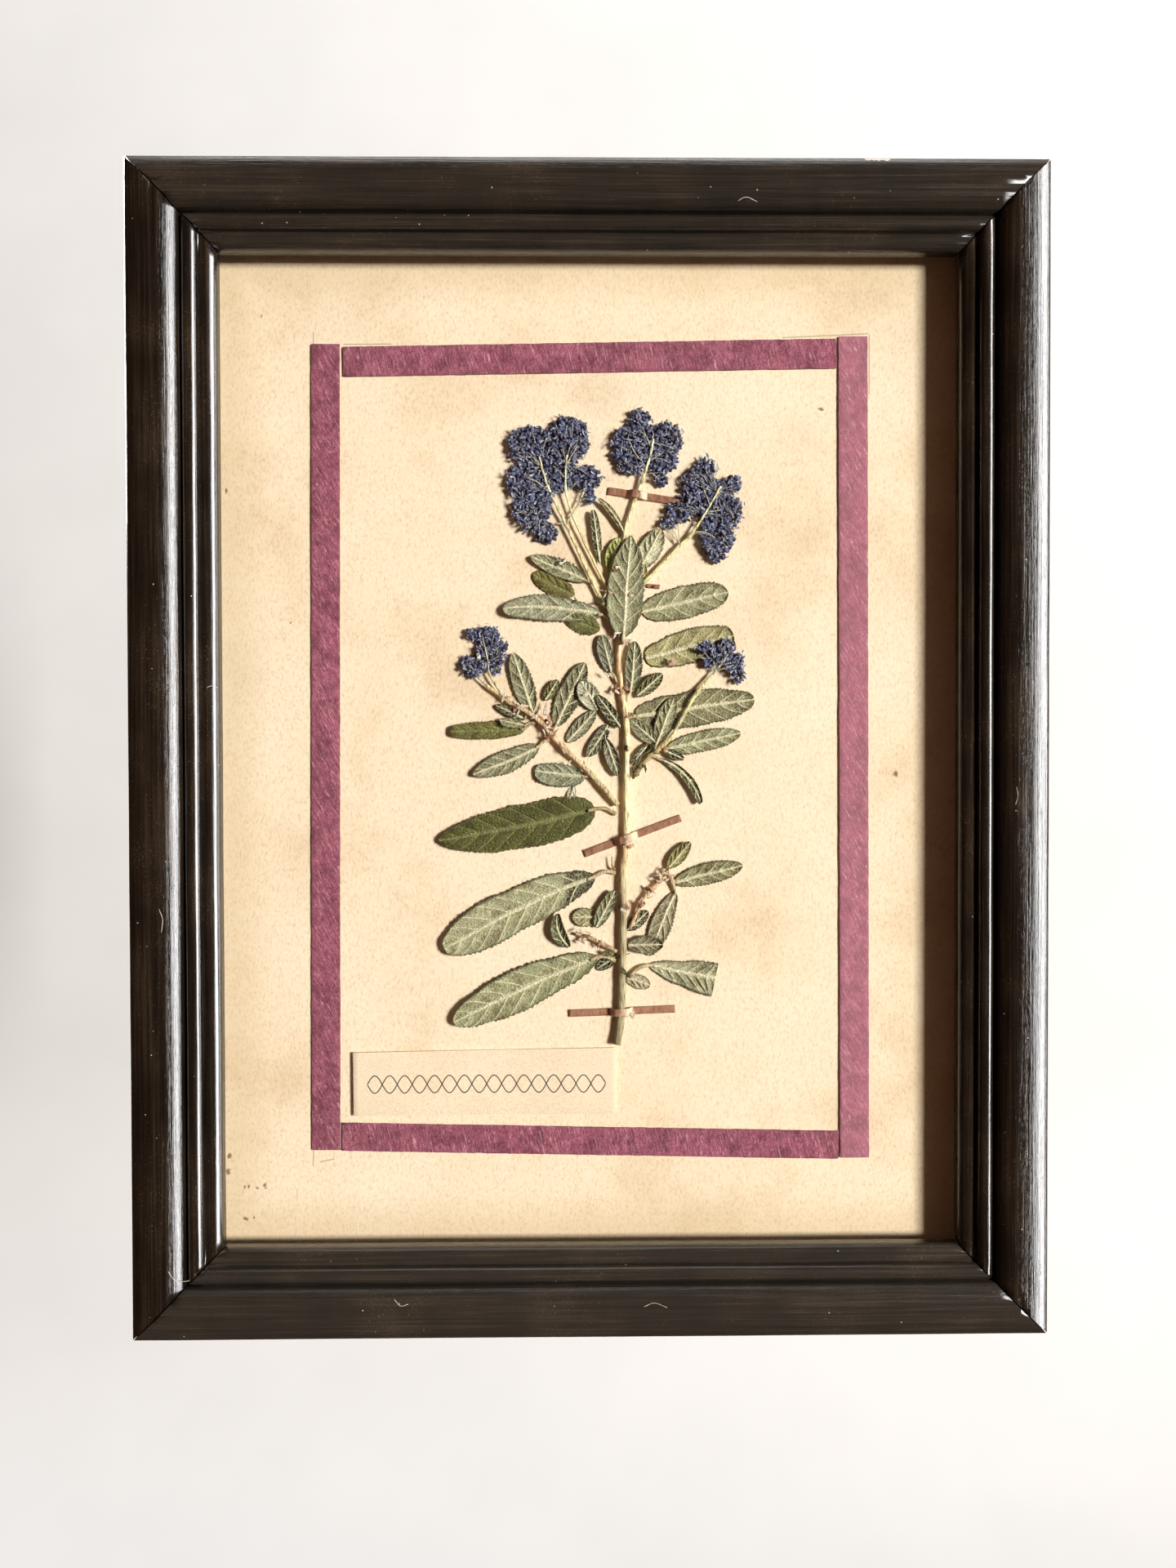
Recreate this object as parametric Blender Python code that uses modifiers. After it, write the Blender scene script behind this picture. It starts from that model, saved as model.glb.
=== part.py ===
# Pressed flower frame: a dried flowering sprig under glass in a black moulded wooden frame.
# It hangs upright. X runs to the right, Y from the front to the wall, Z up.
# The origin is the centre of the whole object's box.
import math

import bmesh
import bpy
from mathutils import Vector

MM = 0.001

# Driving dimensions of the frame
FRAME_WIDTH = 214 * MM
FRAME_HEIGHT = 274 * MM
FRAME_DEPTH = 20 * MM
RAIL_WIDTH = 20 * MM
RABBET_WIDTH = 3.5 * MM
LIP_DEPTH = 8.5 * MM
MITRE_GAP = 0.3 * MM
FIT_GAP = 0.3 * MM

# What lies behind the lip, from front to back
GLASS_THICKNESS = 1.8 * MM
SPECIMEN_SPACE = 3.0 * MM
CARD_THICKNESS = 0.6 * MM
BOARD_THICKNESS = 2.8 * MM
SHEET_CLEARANCE = 0.5 * MM
BRAD_RADIUS = 0.6 * MM
BRAD_LENGTH = 10 * MM

# The sawtooth hanger on the back of the top rail
HANGER_LENGTH = 46 * MM
HANGER_HEIGHT = 9 * MM
HANGER_THICKNESS = 0.8 * MM
HANGER_TEETH = 9
HANGER_TOOTH_DEPTH = 2 * MM
HANGER_HOLE_RADIUS = 1.2 * MM
HANGER_HOLE_INSET = 4.5 * MM
NAIL_SHANK_RADIUS = 0.8 * MM
NAIL_HEAD_RADIUS = 2.2 * MM
NAIL_HEAD_HEIGHT = 0.8 * MM

HANGER_STANDOFF = FIT_GAP + HANGER_THICKNESS + FIT_GAP + NAIL_HEAD_HEIGHT
FRONT_Y = -(FRAME_DEPTH + HANGER_STANDOFF) / 2
BACK_Y = FRONT_Y + FRAME_DEPTH
GLASS_FRONT_Y = FRONT_Y + LIP_DEPTH + FIT_GAP
CARD_FACE_Y = GLASS_FRONT_Y + GLASS_THICKNESS + SPECIMEN_SPACE
BOARD_FRONT_Y = CARD_FACE_Y + CARD_THICKNESS + FIT_GAP
BRAD_Y = BOARD_FRONT_Y + BOARD_THICKNESS + FIT_GAP + BRAD_RADIUS
SHEET_WIDTH = FRAME_WIDTH - 2 * (RAIL_WIDTH - RABBET_WIDTH) - 2 * SHEET_CLEARANCE
SHEET_HEIGHT = FRAME_HEIGHT - 2 * (RAIL_WIDTH - RABBET_WIDTH) - 2 * SHEET_CLEARANCE

# Thin pieces that lie on the card, in millimetres like every place given on the card
PAPER_THICKNESS = 0.2
LABEL_THICKNESS = 0.4
LEAF_THICKNESS = 0.25
PETIOLE_HALF_WIDTH = 0.4
STRAP_WIDTH = 1.8
RESTING_HEIGHT = 0.4
LEAF_COLUMNS = 9
LEAF_ROWS = 2
HEAD_HALF_DEPTH = 0.8
HEAD_MID_HEIGHT = 1.75


# The empty file and its two collections
for old in list(bpy.data.objects):
    bpy.data.objects.remove(old)
PARTS = bpy.data.collections.new("pressed_flower_frame")
CUTTERS = bpy.data.collections.new("cutters")
bpy.context.scene.collection.children.link(PARTS)
bpy.context.scene.collection.children.link(CUTTERS)


# Materials
def material(name, colour, roughness, metallic=0.0, transmission=0.0):
    made = bpy.data.materials.get(name)
    if made is None:
        made = bpy.data.materials.new(name)
        made.use_nodes = True
        shader = made.node_tree.nodes["Principled BSDF"]
        shader.inputs["Base Color"].default_value = (*colour, 1.0)
        shader.inputs["Roughness"].default_value = roughness
        shader.inputs["Metallic"].default_value = metallic
        shader.inputs["Transmission Weight"].default_value = transmission
    return made


def black_lacquer():
    return material("black_lacquer", (0.012, 0.010, 0.009), 0.32)


def picture_glass():
    return material("picture_glass", (0.96, 0.98, 0.96), 0.02, transmission=1.0)


def aged_card():
    return material("aged_card", (0.93, 0.79, 0.58), 0.9)


def grey_board():
    return material("grey_board", (0.33, 0.25, 0.17), 0.9)


def brass_plate():
    return material("brass_plate", (0.62, 0.47, 0.22), 0.35, metallic=1.0)


def bright_steel():
    return material("bright_steel", (0.55, 0.54, 0.52), 0.35, metallic=1.0)


def purple_paper():
    return material("purple_paper", (0.36, 0.13, 0.19), 0.85)


def brown_gummed_paper():
    return material("brown_gummed_paper", (0.38, 0.19, 0.13), 0.7)


def label_card_stock():
    return material("label_card_stock", (0.94, 0.84, 0.66), 0.85)


def dried_stem():
    return material("dried_stem", (0.50, 0.43, 0.22), 0.75)


def leaf_underside():
    return material("leaf_underside", (0.27, 0.31, 0.17), 0.8)


def leaf_upper_side():
    return material("leaf_upper_side", (0.08, 0.11, 0.03), 0.6)


def dried_buds():
    return material("dried_buds", (0.05, 0.06, 0.16), 0.8)


# Shared ways of making a piece
def add_part(name, data, finish):
    part = bpy.data.objects.new(name, data)
    part.data.materials.append(finish)
    PARTS.objects.link(part)
    return part


def mesh_from(name, bm):
    mesh = bpy.data.meshes.new(name)
    bm.to_mesh(mesh)
    bm.free()
    return mesh


def add_box(name, size, centre, finish):
    bm = bmesh.new()
    bmesh.ops.create_cube(bm, size=1.0)
    bmesh.ops.scale(bm, verts=bm.verts, vec=size)
    bmesh.ops.translate(bm, verts=bm.verts, vec=centre)
    return add_part(name, mesh_from(name, bm), finish)


def on_card(x, z, height):
    """A place on the card in millimetres, and how far it stands off the card's face."""
    return Vector((x * MM, CARD_FACE_Y - height * MM, z * MM))


def add_sheet(name, columns, rows, place, thickness, finish):
    """A thin sheet: place(along 0..1, across -1..1) gives each point of its middle surface."""
    bm = bmesh.new()
    bmesh.ops.create_grid(bm, x_segments=columns, y_segments=rows, size=1.0)
    for vert in bm.verts:
        vert.co = place((vert.co.x + 1) / 2, vert.co.y)
    bmesh.ops.recalc_face_normals(bm, faces=bm.faces)
    sheet = add_part(name, mesh_from(name, bm), finish)
    wall = sheet.modifiers.new("thickness", "SOLIDIFY")
    wall.thickness = thickness * MM
    wall.offset = 0.0
    return sheet


def smooth_route(points, steps):
    """Points on a smooth curve through the given ones, with steps to each stretch."""
    ends = [2 * points[0] - points[1], *points, 2 * points[-1] - points[-2]]
    route = []
    for i in range(1, len(ends) - 2):
        before, start, end, after = ends[i - 1:i + 3]
        for step in range(steps):
            t = step / steps
            route.append(0.5 * (2 * start + (end - before) * t
                                + (2 * before - 5 * start + 4 * end - after) * t ** 2
                                + (3 * start - before - 3 * end + after) * t ** 3))
    route.append(points[-1].copy())
    return route


def add_stalk(name, route, radii, finish, steps=3):
    """A round stalk through places (x, z, height) in millimetres, thinning along its length."""
    points = smooth_route([on_card(*place) for place in route], steps)
    curve = bpy.data.curves.new(name, "CURVE")
    curve.dimensions = "3D"
    curve.bevel_depth = MM
    curve.bevel_resolution = 2
    curve.use_fill_caps = True
    spline = curve.splines.new("POLY")
    spline.points.add(len(points) - 1)
    for index, point in enumerate(points):
        along = index / (len(points) - 1)
        spline.points[index].co = (*point, 1.0)
        spline.points[index].radius = radii[0] + (radii[1] - radii[0]) * along
    return add_part(name, curve, finish)


# Frame rails: one moulding, mitred at each end
def arc(centre, radii, start, end, steps):
    """Points on an ellipse's arc, with angles in degrees from its +across axis towards the wall."""
    points = []
    for step in range(steps + 1):
        angle = math.radians(start + (end - start) * step / steps)
        points.append((centre[0] + radii[0] * math.cos(angle), centre[1] + radii[1] * math.sin(angle)))
    return points


def moulding_profile():
    """The rail's section in millimetres: across from the outer edge, and back from the front."""
    hump_outer = arc((5.5, 2.6), (5.5, 2.6), 180, 270, 10)
    hump_inner = arc((6.8, 3.6), (5.2, 3.6), 270, 360, 10)
    outer_bead = arc((14.3, 3.9), (1.8, 1.7), 180, 360, 12)
    inner_bead = arc((17.3, 6.4), (2.7, 2.3), 270, 360, 8)
    rabbet = RAIL_WIDTH / MM - RABBET_WIDTH / MM
    lip = LIP_DEPTH / MM
    depth = FRAME_DEPTH / MM
    points = hump_outer + hump_inner + [(12.2, 4.4)] + outer_bead + [(16.3, 4.6)] + inner_bead
    points += [(RAIL_WIDTH / MM, lip), (rabbet, lip), (rabbet, depth), (0.0, depth)]
    return points


def add_rail(name, length, turn, reach):
    """A rail of the given outer length, turned about Y, whose outer side is reach from the centre."""
    bm = bmesh.new()
    section = [bm.verts.new((-length / 2, FRONT_Y + back * MM, reach - across * MM))
               for across, back in moulding_profile()]
    face = bm.faces.new(section)
    pulled = bmesh.ops.extrude_face_region(bm, geom=[face])["geom"]
    bmesh.ops.translate(bm, vec=(length, 0, 0), verts=[g for g in pulled if isinstance(g, bmesh.types.BMVert)])
    for side in (-1, 1):
        corner = Vector((side * (length / 2 - MITRE_GAP / math.sqrt(2)), 0, reach))
        cut = bmesh.ops.bisect_plane(bm, geom=bm.verts[:] + bm.edges[:] + bm.faces[:], plane_co=corner,
                                     plane_no=(side, 0, -1), clear_outer=True)
        rim = [g for g in cut["geom_cut"] if isinstance(g, bmesh.types.BMEdge)]
        bmesh.ops.edgeloop_fill(bm, edges=rim)
    bmesh.ops.recalc_face_normals(bm, faces=bm.faces)
    rail = add_part(name, mesh_from(name, bm), black_lacquer())
    rail.rotation_euler.y = math.radians(turn)
    rail.data.shade_smooth()
    rail.data.set_sharp_from_angle(angle=math.radians(35))
    return rail


def add_frame():
    add_rail("frame_rail_top", FRAME_WIDTH, 0, FRAME_HEIGHT / 2)
    add_rail("frame_rail_bottom", FRAME_WIDTH, 180, FRAME_HEIGHT / 2)
    add_rail("frame_rail_right", FRAME_HEIGHT, 90, FRAME_WIDTH / 2)
    add_rail("frame_rail_left", FRAME_HEIGHT, -90, FRAME_WIDTH / 2)


# Glass, card and backing board, all cut to one size for the rabbet
def add_filling():
    for name, front, thickness, finish in (
            ("glass_pane", GLASS_FRONT_Y, GLASS_THICKNESS, picture_glass()),
            ("mount_card", CARD_FACE_Y, CARD_THICKNESS, aged_card()),
            ("backing_board", BOARD_FRONT_Y, BOARD_THICKNESS, grey_board())):
        add_box(name, (SHEET_WIDTH, thickness, SHEET_HEIGHT), (0, front + thickness / 2, 0), finish)


# Brads that lie on the board, one pushed in from each rail
def add_brads():
    half_width = FRAME_WIDTH / 2 - RAIL_WIDTH + RABBET_WIDTH - FIT_GAP - BRAD_LENGTH / 2
    half_height = FRAME_HEIGHT / 2 - RAIL_WIDTH + RABBET_WIDTH - FIT_GAP - BRAD_LENGTH / 2
    for name, x, z, turn in (("brad_top", 0, half_height, 0), ("brad_bottom", 0, -half_height, 0),
                             ("brad_left", -half_width, 0, 90), ("brad_right", half_width, 0, 90)):
        bm = bmesh.new()
        bmesh.ops.create_cone(bm, cap_ends=True, segments=12, radius1=BRAD_RADIUS, radius2=BRAD_RADIUS,
                              depth=BRAD_LENGTH)
        brad = add_part(name, mesh_from(name, bm), bright_steel())
        brad.location = (x, BRAD_Y, z)
        brad.rotation_euler.y = math.radians(turn)


# Sawtooth hanger: a flat stamped plate with teeth along its lower edge, nailed at both ends
def hanger_height():
    return FRAME_HEIGHT / 2 - (RAIL_WIDTH - RABBET_WIDTH) / 2


def add_hanger():
    half, top = HANGER_LENGTH / 2, HANGER_HEIGHT / 2
    toothed = half - 2 * HANGER_HOLE_INSET
    outline = [(-half, -top), (-half, top), (half, top), (half, -top), (toothed, -top)]
    pitch = 2 * toothed / HANGER_TEETH
    for tooth in range(HANGER_TEETH):
        edge = toothed - tooth * pitch
        outline += [(edge - pitch / 2, -top + HANGER_TOOTH_DEPTH), (edge - pitch, -top)]
    curve = bpy.data.curves.new("hanger_plate", "CURVE")
    curve.dimensions = "2D"
    curve.fill_mode = "BOTH"
    curve.extrude = HANGER_THICKNESS / 2
    spline = curve.splines.new("POLY")
    spline.points.add(len(outline) - 1)
    for point, (x, z) in zip(spline.points, outline):
        point.co = (x, z, 0, 1)
    spline.use_cyclic_u = True
    for side in (-1, 1):
        hole = curve.splines.new("POLY")
        steps = 12
        hole.points.add(steps - 1)
        for step, point in enumerate(hole.points):
            angle = 2 * math.pi * step / steps
            point.co = (side * (half - HANGER_HOLE_INSET) + HANGER_HOLE_RADIUS * math.cos(angle),
                        HANGER_HOLE_RADIUS * math.sin(angle), 0, 1)
        hole.use_cyclic_u = True
    plate = add_part("hanger_plate", curve, brass_plate())
    plate.location = (0, BACK_Y + FIT_GAP + HANGER_THICKNESS / 2, hanger_height())
    plate.rotation_euler.x = math.radians(90)


def add_hanger_nails():
    """Each nail is a turned profile: a domed head and the stretch of shank inside the plate's hole."""
    shank = FIT_GAP + HANGER_THICKNESS
    profile = [(0, NAIL_HEAD_HEIGHT), (NAIL_HEAD_RADIUS * 0.7, NAIL_HEAD_HEIGHT * 0.8), (NAIL_HEAD_RADIUS, 0),
               (NAIL_SHANK_RADIUS, 0), (NAIL_SHANK_RADIUS, -shank), (0, -shank)]
    for name, side in (("hanger_nail_left", -1), ("hanger_nail_right", 1)):
        bm = bmesh.new()
        verts = [bm.verts.new((radius, 0, height)) for radius, height in profile]
        for first, second in zip(verts, verts[1:]):
            bm.edges.new((first, second))
        nail = add_part(name, mesh_from(name, bm), bright_steel())
        turned = nail.modifiers.new("turned", "SCREW")
        turned.steps = turned.render_steps = 12
        turned.use_merge_vertices = True
        turned.merge_threshold = 0.01 * MM
        nail.location = (side * (HANGER_LENGTH / 2 - HANGER_HOLE_INSET), BACK_Y + HANGER_STANDOFF
                         - NAIL_HEAD_HEIGHT, hanger_height())
        nail.rotation_euler.x = math.radians(-90)


# Purple paper strips that border the card
def add_border_strip(name, start, end, width):
    """A paper strip along its centre line from start to end, gently cockled."""
    along = Vector(end) - Vector(start)
    across = Vector((-along.y, along.x)).normalized() * width / 2

    def place(s, t):
        spot = Vector(start) + along * s + across * t
        return on_card(spot.x, spot.y, RESTING_HEIGHT + 0.1 * math.sin(5 * math.pi * s) ** 2)

    add_sheet(name, 10, 1, place, PAPER_THICKNESS, purple_paper())


def add_border_strips():
    add_border_strip("border_strip_left", (-64.1, -96.2), (-63.2, 97.9), 6.8)
    add_border_strip("border_strip_right", (64.2, -98.8), (63.6, 100.0), 7.0)
    add_border_strip("border_strip_top", (-59.0, 93.7), (59.6, 95.9), 7.1)
    add_border_strip("border_strip_bottom", (-60.2, -93.0), (60.2, -95.7), 6.8)


# Brown gummed straps, two of which pass over the stem and one over a flower stalk
def add_strap(name, start, end, crossing, rise, clear_half_width):
    """A strap from start to end that rises over a stalk where it crosses it."""
    along = Vector(end) - Vector(start)
    across = Vector((-along.y, along.x)).normalized() * STRAP_WIDTH / 2
    length = along.length
    slope = 1.6
    stops = [0, 1]
    if rise:
        stops = [0, (crossing - clear_half_width - slope) / length, (crossing - clear_half_width) / length,
                 (crossing + clear_half_width) / length, (crossing + clear_half_width + slope) / length, 1]
    heights = [RESTING_HEIGHT + (rise if i in (2, 3) else 0) for i in range(len(stops))]

    def place(s, t):
        index = round(s * (len(stops) - 1))
        spot = Vector(start) + along * stops[index] + across * t
        return on_card(spot.x, spot.y, heights[index])

    add_sheet(name, len(stops) - 1, 1, place, PAPER_THICKNESS, brown_gummed_paper())


def add_straps():
    add_strap("strap_upper", (4.5, 62.9), (22.6, 60.1), crossing=6.9, rise=1.5, clear_half_width=0.9)
    add_strap("strap_middle", (-1.4, -24.6), (21.9, -16.0), crossing=10.6, rise=2.1, clear_half_width=1.5)
    add_strap("strap_lower", (-5.2, -63.3), (20.5, -62.3), crossing=12.6, rise=2.1, clear_half_width=1.4)
    add_strap("strap_small", (13.9, 40.1), (16.9, 39.8), crossing=0, rise=0, clear_half_width=0)


# Label card, bowed a little off the mounting card
def add_label():
    low_left, low_right = Vector((-57.3, -87.8)), Vector((6.2, -87.6))
    high_left, high_right = Vector((-57.4, -72.5)), Vector((6.4, -71.6))

    def place(s, t):
        spot = low_left.lerp(low_right, s).lerp(high_left.lerp(high_right, s), (t + 1) / 2)
        return on_card(spot.x, spot.y, RESTING_HEIGHT + 0.2 + 0.3 * math.cos(math.pi * s) ** 2)

    add_sheet("label_card", 8, 1, place, LABEL_THICKNESS, label_card_stock())


# Stem, branches, twigs and flower stalks
def add_stems():
    add_stalk("main_stem", [(6.2, -70.6, 1.25), (7.2, -64.8, 1.25), (7.7, -53.1, 1.25), (7.9, -37.3, 1.2),
                            (7.8, -28.8, 1.2), (8.7, -21.5, 1.2), (8.7, -7.1, 1.15), (8.8, 6.0, 1.1),
                            (7.5, 15.5, 1.05), (6.9, 22.9, 1.0), (7.4, 27.0, 1.0), (8.5, 35.0, 0.95),
                            (8.7, 42.4, 0.95)], (0.9, 0.5), dried_stem(), steps=2)
    add_stalk("left_branch", [(6.6, -12.8, 1.35), (0.3, -5.5, 1.45), (-5.8, 0.4, 1.5), (-8.8, 3.5, 1.5),
                              (-13.3, 8.4, 1.5), (-19.3, 12.0, 1.4), (-24.9, 16.0, 1.4)], (0.6, 0.35),
              dried_stem())
    add_stalk("right_branch", [(10.2, -6.2, 1.4), (14.3, -1.1, 1.5), (19.4, 3.5, 1.6), (23.3, 10.3, 1.6),
                               (25.9, 14.5, 1.6), (29.4, 18.4, 1.6)], (0.5, 0.35), dried_stem())
    add_stalk("lower_left_twig", [(6.3, -48.2, 1.2), (0.6, -45.2, 1.2), (-3.6, -43.8, 1.2)], (0.45, 0.3),
              dried_stem())
    add_stalk("lower_right_twig", [(9.5, -42.6, 1.2), (12.8, -35.7, 1.3), (16.0, -32.0, 1.3),
                                   (18.9, -29.6, 1.3)], (0.45, 0.35), dried_stem())
    add_stalk("flower_stalk_left_outer", [(7.2, 33.7, 1.1), (5.0, 34.4, 1.1), (2.6, 37.0, 1.2),
                                          (-5.7, 54.5, 1.4), (-8.8, 60.8, 1.4)], (0.45, 0.35), dried_stem())
    add_stalk("flower_stalk_left_inner", [(7.4, 37.9, 1.1), (5.0, 38.6, 1.1), (2.1, 43.6, 1.2),
                                          (-2.7, 53.5, 1.4), (-5.3, 60.6, 1.4)], (0.4, 0.35), dried_stem())
    add_stalk("flower_stalk_middle", [(8.8, 43.3, 0.95), (8.4, 51.9, 1.0), (9.4, 56.4, 1.0), (12.4, 64.6, 1.0)],
              (0.5, 0.45), dried_stem())
    add_stalk("flower_stalk_right", [(9.6, 37.6, 0.95), (13.3, 41.0, 1.1), (20.4, 48.4, 1.4),
                                     (24.2, 52.0, 1.4)], (0.45, 0.4), dried_stem())


# Leaves: an oblong blade on a short stalk, cupped and lifting towards its tip
def add_leaf(name, foot, base, tip, halves, lift, finish, bow=0.0, fullness=(0.5, 0.5), cut=1.0):
    """A leaf from its foot on the stem to its tip.

    halves are the blade's half widths left and right of the midrib, looking to the tip, lift is the
    height at the foot and the tip, bow bends the midrib to the left, fullness is how slowly the blade
    widens at the base and narrows at the tip, and cut is where a broken blade ends.
    """
    foot, base, tip = Vector(foot), Vector(base), Vector(tip)
    ahead = (tip - base).normalized()
    left = Vector((-ahead.y, ahead.x))
    widest = fullness[0] / (fullness[0] + fullness[1])
    most = widest ** fullness[0] * (1 - widest) ** fullness[1]
    stalk_share = 0.0 if foot == base else 2 / LEAF_COLUMNS

    def place(s, t):
        if s < stalk_share:
            spot = foot.lerp(base, s / stalk_share)
            return on_card(*(spot + left * t * PETIOLE_HALF_WIDTH), lift[0])
        along = (s - stalk_share) / (1 - stalk_share)
        along = cut * (1 - math.cos(math.pi * along * (0.5 if cut < 1 else 1))) / (1 if cut < 1 else 2)
        width = along ** fullness[0] * (1 - along) ** fullness[1] / most
        half = max(PETIOLE_HALF_WIDTH, width * (halves[0] if t > 0 else halves[1]))
        spot = base.lerp(tip, along) + left * (4 * bow * along * (1 - along) + t * half)
        cup = 0.15 * (1 - t ** 2) * math.sin(math.pi * along)
        return on_card(*spot, lift[0] + (lift[1] - lift[0]) * along ** 2 + cup)

    add_sheet(name, LEAF_COLUMNS, LEAF_ROWS, place, LEAF_THICKNESS, finish)


def add_lower_leaves():
    add_leaf("leaf_large_upper", (6.2, -15.0), (1.2, -13.8), (-36.4, -21.3), (5.5, 5.2), (0.6, 1.9),
             leaf_upper_side(), bow=0.4, fullness=(0.42, 0.6))
    add_leaf("leaf_large_middle", (6.1, -29.2), (1.0, -30.0), (-35.2, -47.4), (5.2, 5.2), (0.6, 1.8),
             leaf_underside(), bow=-0.9, fullness=(0.5, 0.38))
    add_leaf("leaf_large_lower", (6.0, -50.6), (1.6, -49.6), (-33.0, -65.2), (4.8, 4.8), (0.6, 1.9),
             leaf_underside(), bow=-0.6, fullness=(0.55, 0.5))
    add_leaf("leaf_broken_right", (9.4, -54.3), (14.3, -51.6), (41.0, -58.8), (3.8, 4.3), (0.6, 1.2),
             leaf_underside(), fullness=(0.5, 0.3), cut=0.62)
    add_leaf("leaf_twig_outer", (20.4, -31.6), (20.4, -31.6), (36.6, -27.4), (2.5, 2.4), (0.6, 1.4),
             leaf_underside())
    add_leaf("leaf_twig_inner", (20.6, -33.8), (20.6, -33.8), (13.9, -49.2), (2.5, 2.4), (0.6, 0.7),
             leaf_underside(), fullness=(0.6, 0.5))


def add_crown_leaves():
    add_leaf("leaf_crown_centre", (8.0, 27.6), (8.0, 27.6), (9.9, 51.8), (4.6, 4.2), (2.05, 2.15),
             leaf_underside(), bow=0.1, fullness=(0.55, 0.75))
    add_leaf("leaf_crown_right", (9.6, 31.7), (12.6, 33.8), (33.2, 38.4), (4.0, 4.1), (0.6, 1.3),
             leaf_underside(), fullness=(0.5, 0.45))
    add_leaf("leaf_crown_left", (6.3, 29.8), (3.2, 33.0), (-20.8, 34.3), (3.2, 2.8), (0.6, 2.0),
             leaf_underside(), bow=-1.1, fullness=(0.6, 0.45))
    add_leaf("leaf_crown_upper", (-0.8, 41.2), (-0.8, 41.2), (-14.1, 46.8), (1.9, 2.3), (0.6, 1.6),
             leaf_underside())


def add_left_branch_leaves():
    add_leaf("leaf_left_dark", (-13.2, 7.1), (-15.9, 5.6), (-33.4, 4.9), (1.9, 2.0), (0.6, 1.7),
             leaf_upper_side(), fullness=(0.3, 0.25))
    add_leaf("leaf_left_low", (-9.9, 3.0), (-12.3, 1.5), (-28.1, -5.4), (2.6, 2.6), (0.6, 1.9),
             leaf_underside(), bow=0.3, fullness=(0.55, 0.6))
    add_leaf("leaf_left_dusty", (-1.4, -6.0), (-1.4, -6.0), (-13.3, -4.5), (3.0, 2.4), (0.6, 0.9),
             leaf_underside(), fullness=(0.4, 0.35))
    add_leaf("leaf_left_high", (-14.0, 9.9), (-14.0, 9.9), (-18.6, 23.7), (2.2, 2.2), (0.6, 1.2),
             leaf_underside(), fullness=(0.5, 0.55))
    add_leaf("leaf_left_inner", (-8.3, 6.2), (-8.3, 6.2), (-1.2, 21.4), (2.5, 2.2), (0.6, 1.1),
             leaf_underside(), fullness=(0.55, 0.55))
    add_leaf("leaf_stem_left", (5.1, 19.2), (5.1, 19.2), (2.8, 28.2), (2.1, 1.5), (0.8, 1.4),
             leaf_underside())


def add_right_branch_leaves():
    add_leaf("leaf_stem_right", (9.7, 14.2), (9.7, 14.2), (10.8, 26.5), (1.6, 2.0), (0.8, 1.5),
             leaf_underside())
    add_leaf("leaf_right_high", (13.4, 22.6), (13.4, 22.6), (34.6, 28.2), (3.9, 3.9), (0.45, 0.45),
             leaf_underside(), fullness=(0.35, 0.3))
    add_leaf("leaf_right_large", (10.4, 8.5), (13.0, 8.9), (39.6, 12.6), (3.9, 4.3), (0.45, 0.9),
             leaf_underside())
    add_leaf("leaf_right_small", (16.2, 2.4), (16.2, 2.4), (20.2, 12.9), (2.0, 1.6), (1.2, 1.2),
             leaf_underside())
    add_leaf("leaf_right_low", (18.6, 0.7), (18.6, 0.7), (36.3, 4.5), (2.4, 2.5), (0.6, 1.4),
             leaf_underside())
    add_leaf("leaf_right_curled", (16.6, -1.6), (16.6, -1.6), (26.8, -12.2), (0.9, 0.9), (0.6, 1.2),
             leaf_underside(), bow=1.7, fullness=(0.3, 0.35))


# Flower heads: lumps of crowded buds, each lump a flattened ball joined to the next
def add_flower_head(name, lumps):
    """A head made of lumps (x, z, half width, half height) in millimetres."""
    head = None
    for number, (x, z, half_width, half_height) in enumerate(lumps):
        bm = bmesh.new()
        bmesh.ops.create_icosphere(bm, subdivisions=2, radius=MM)
        bmesh.ops.scale(bm, verts=bm.verts, vec=(half_width, HEAD_HALF_DEPTH, half_height))
        bmesh.ops.translate(bm, verts=bm.verts, vec=on_card(x, z, HEAD_MID_HEIGHT))
        if head is None:
            head = add_part(name, mesh_from(name, bm), dried_buds())
            continue
        lump = bpy.data.objects.new(f"{name}_lump_{number}", mesh_from(f"{name}_lump_{number}", bm))
        lump.hide_render = True
        lump.display_type = "WIRE"
        CUTTERS.objects.link(lump)
        join = head.modifiers.new(f"lump_{number}", "BOOLEAN")
        join.operation = "UNION"
        join.object = lump


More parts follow.
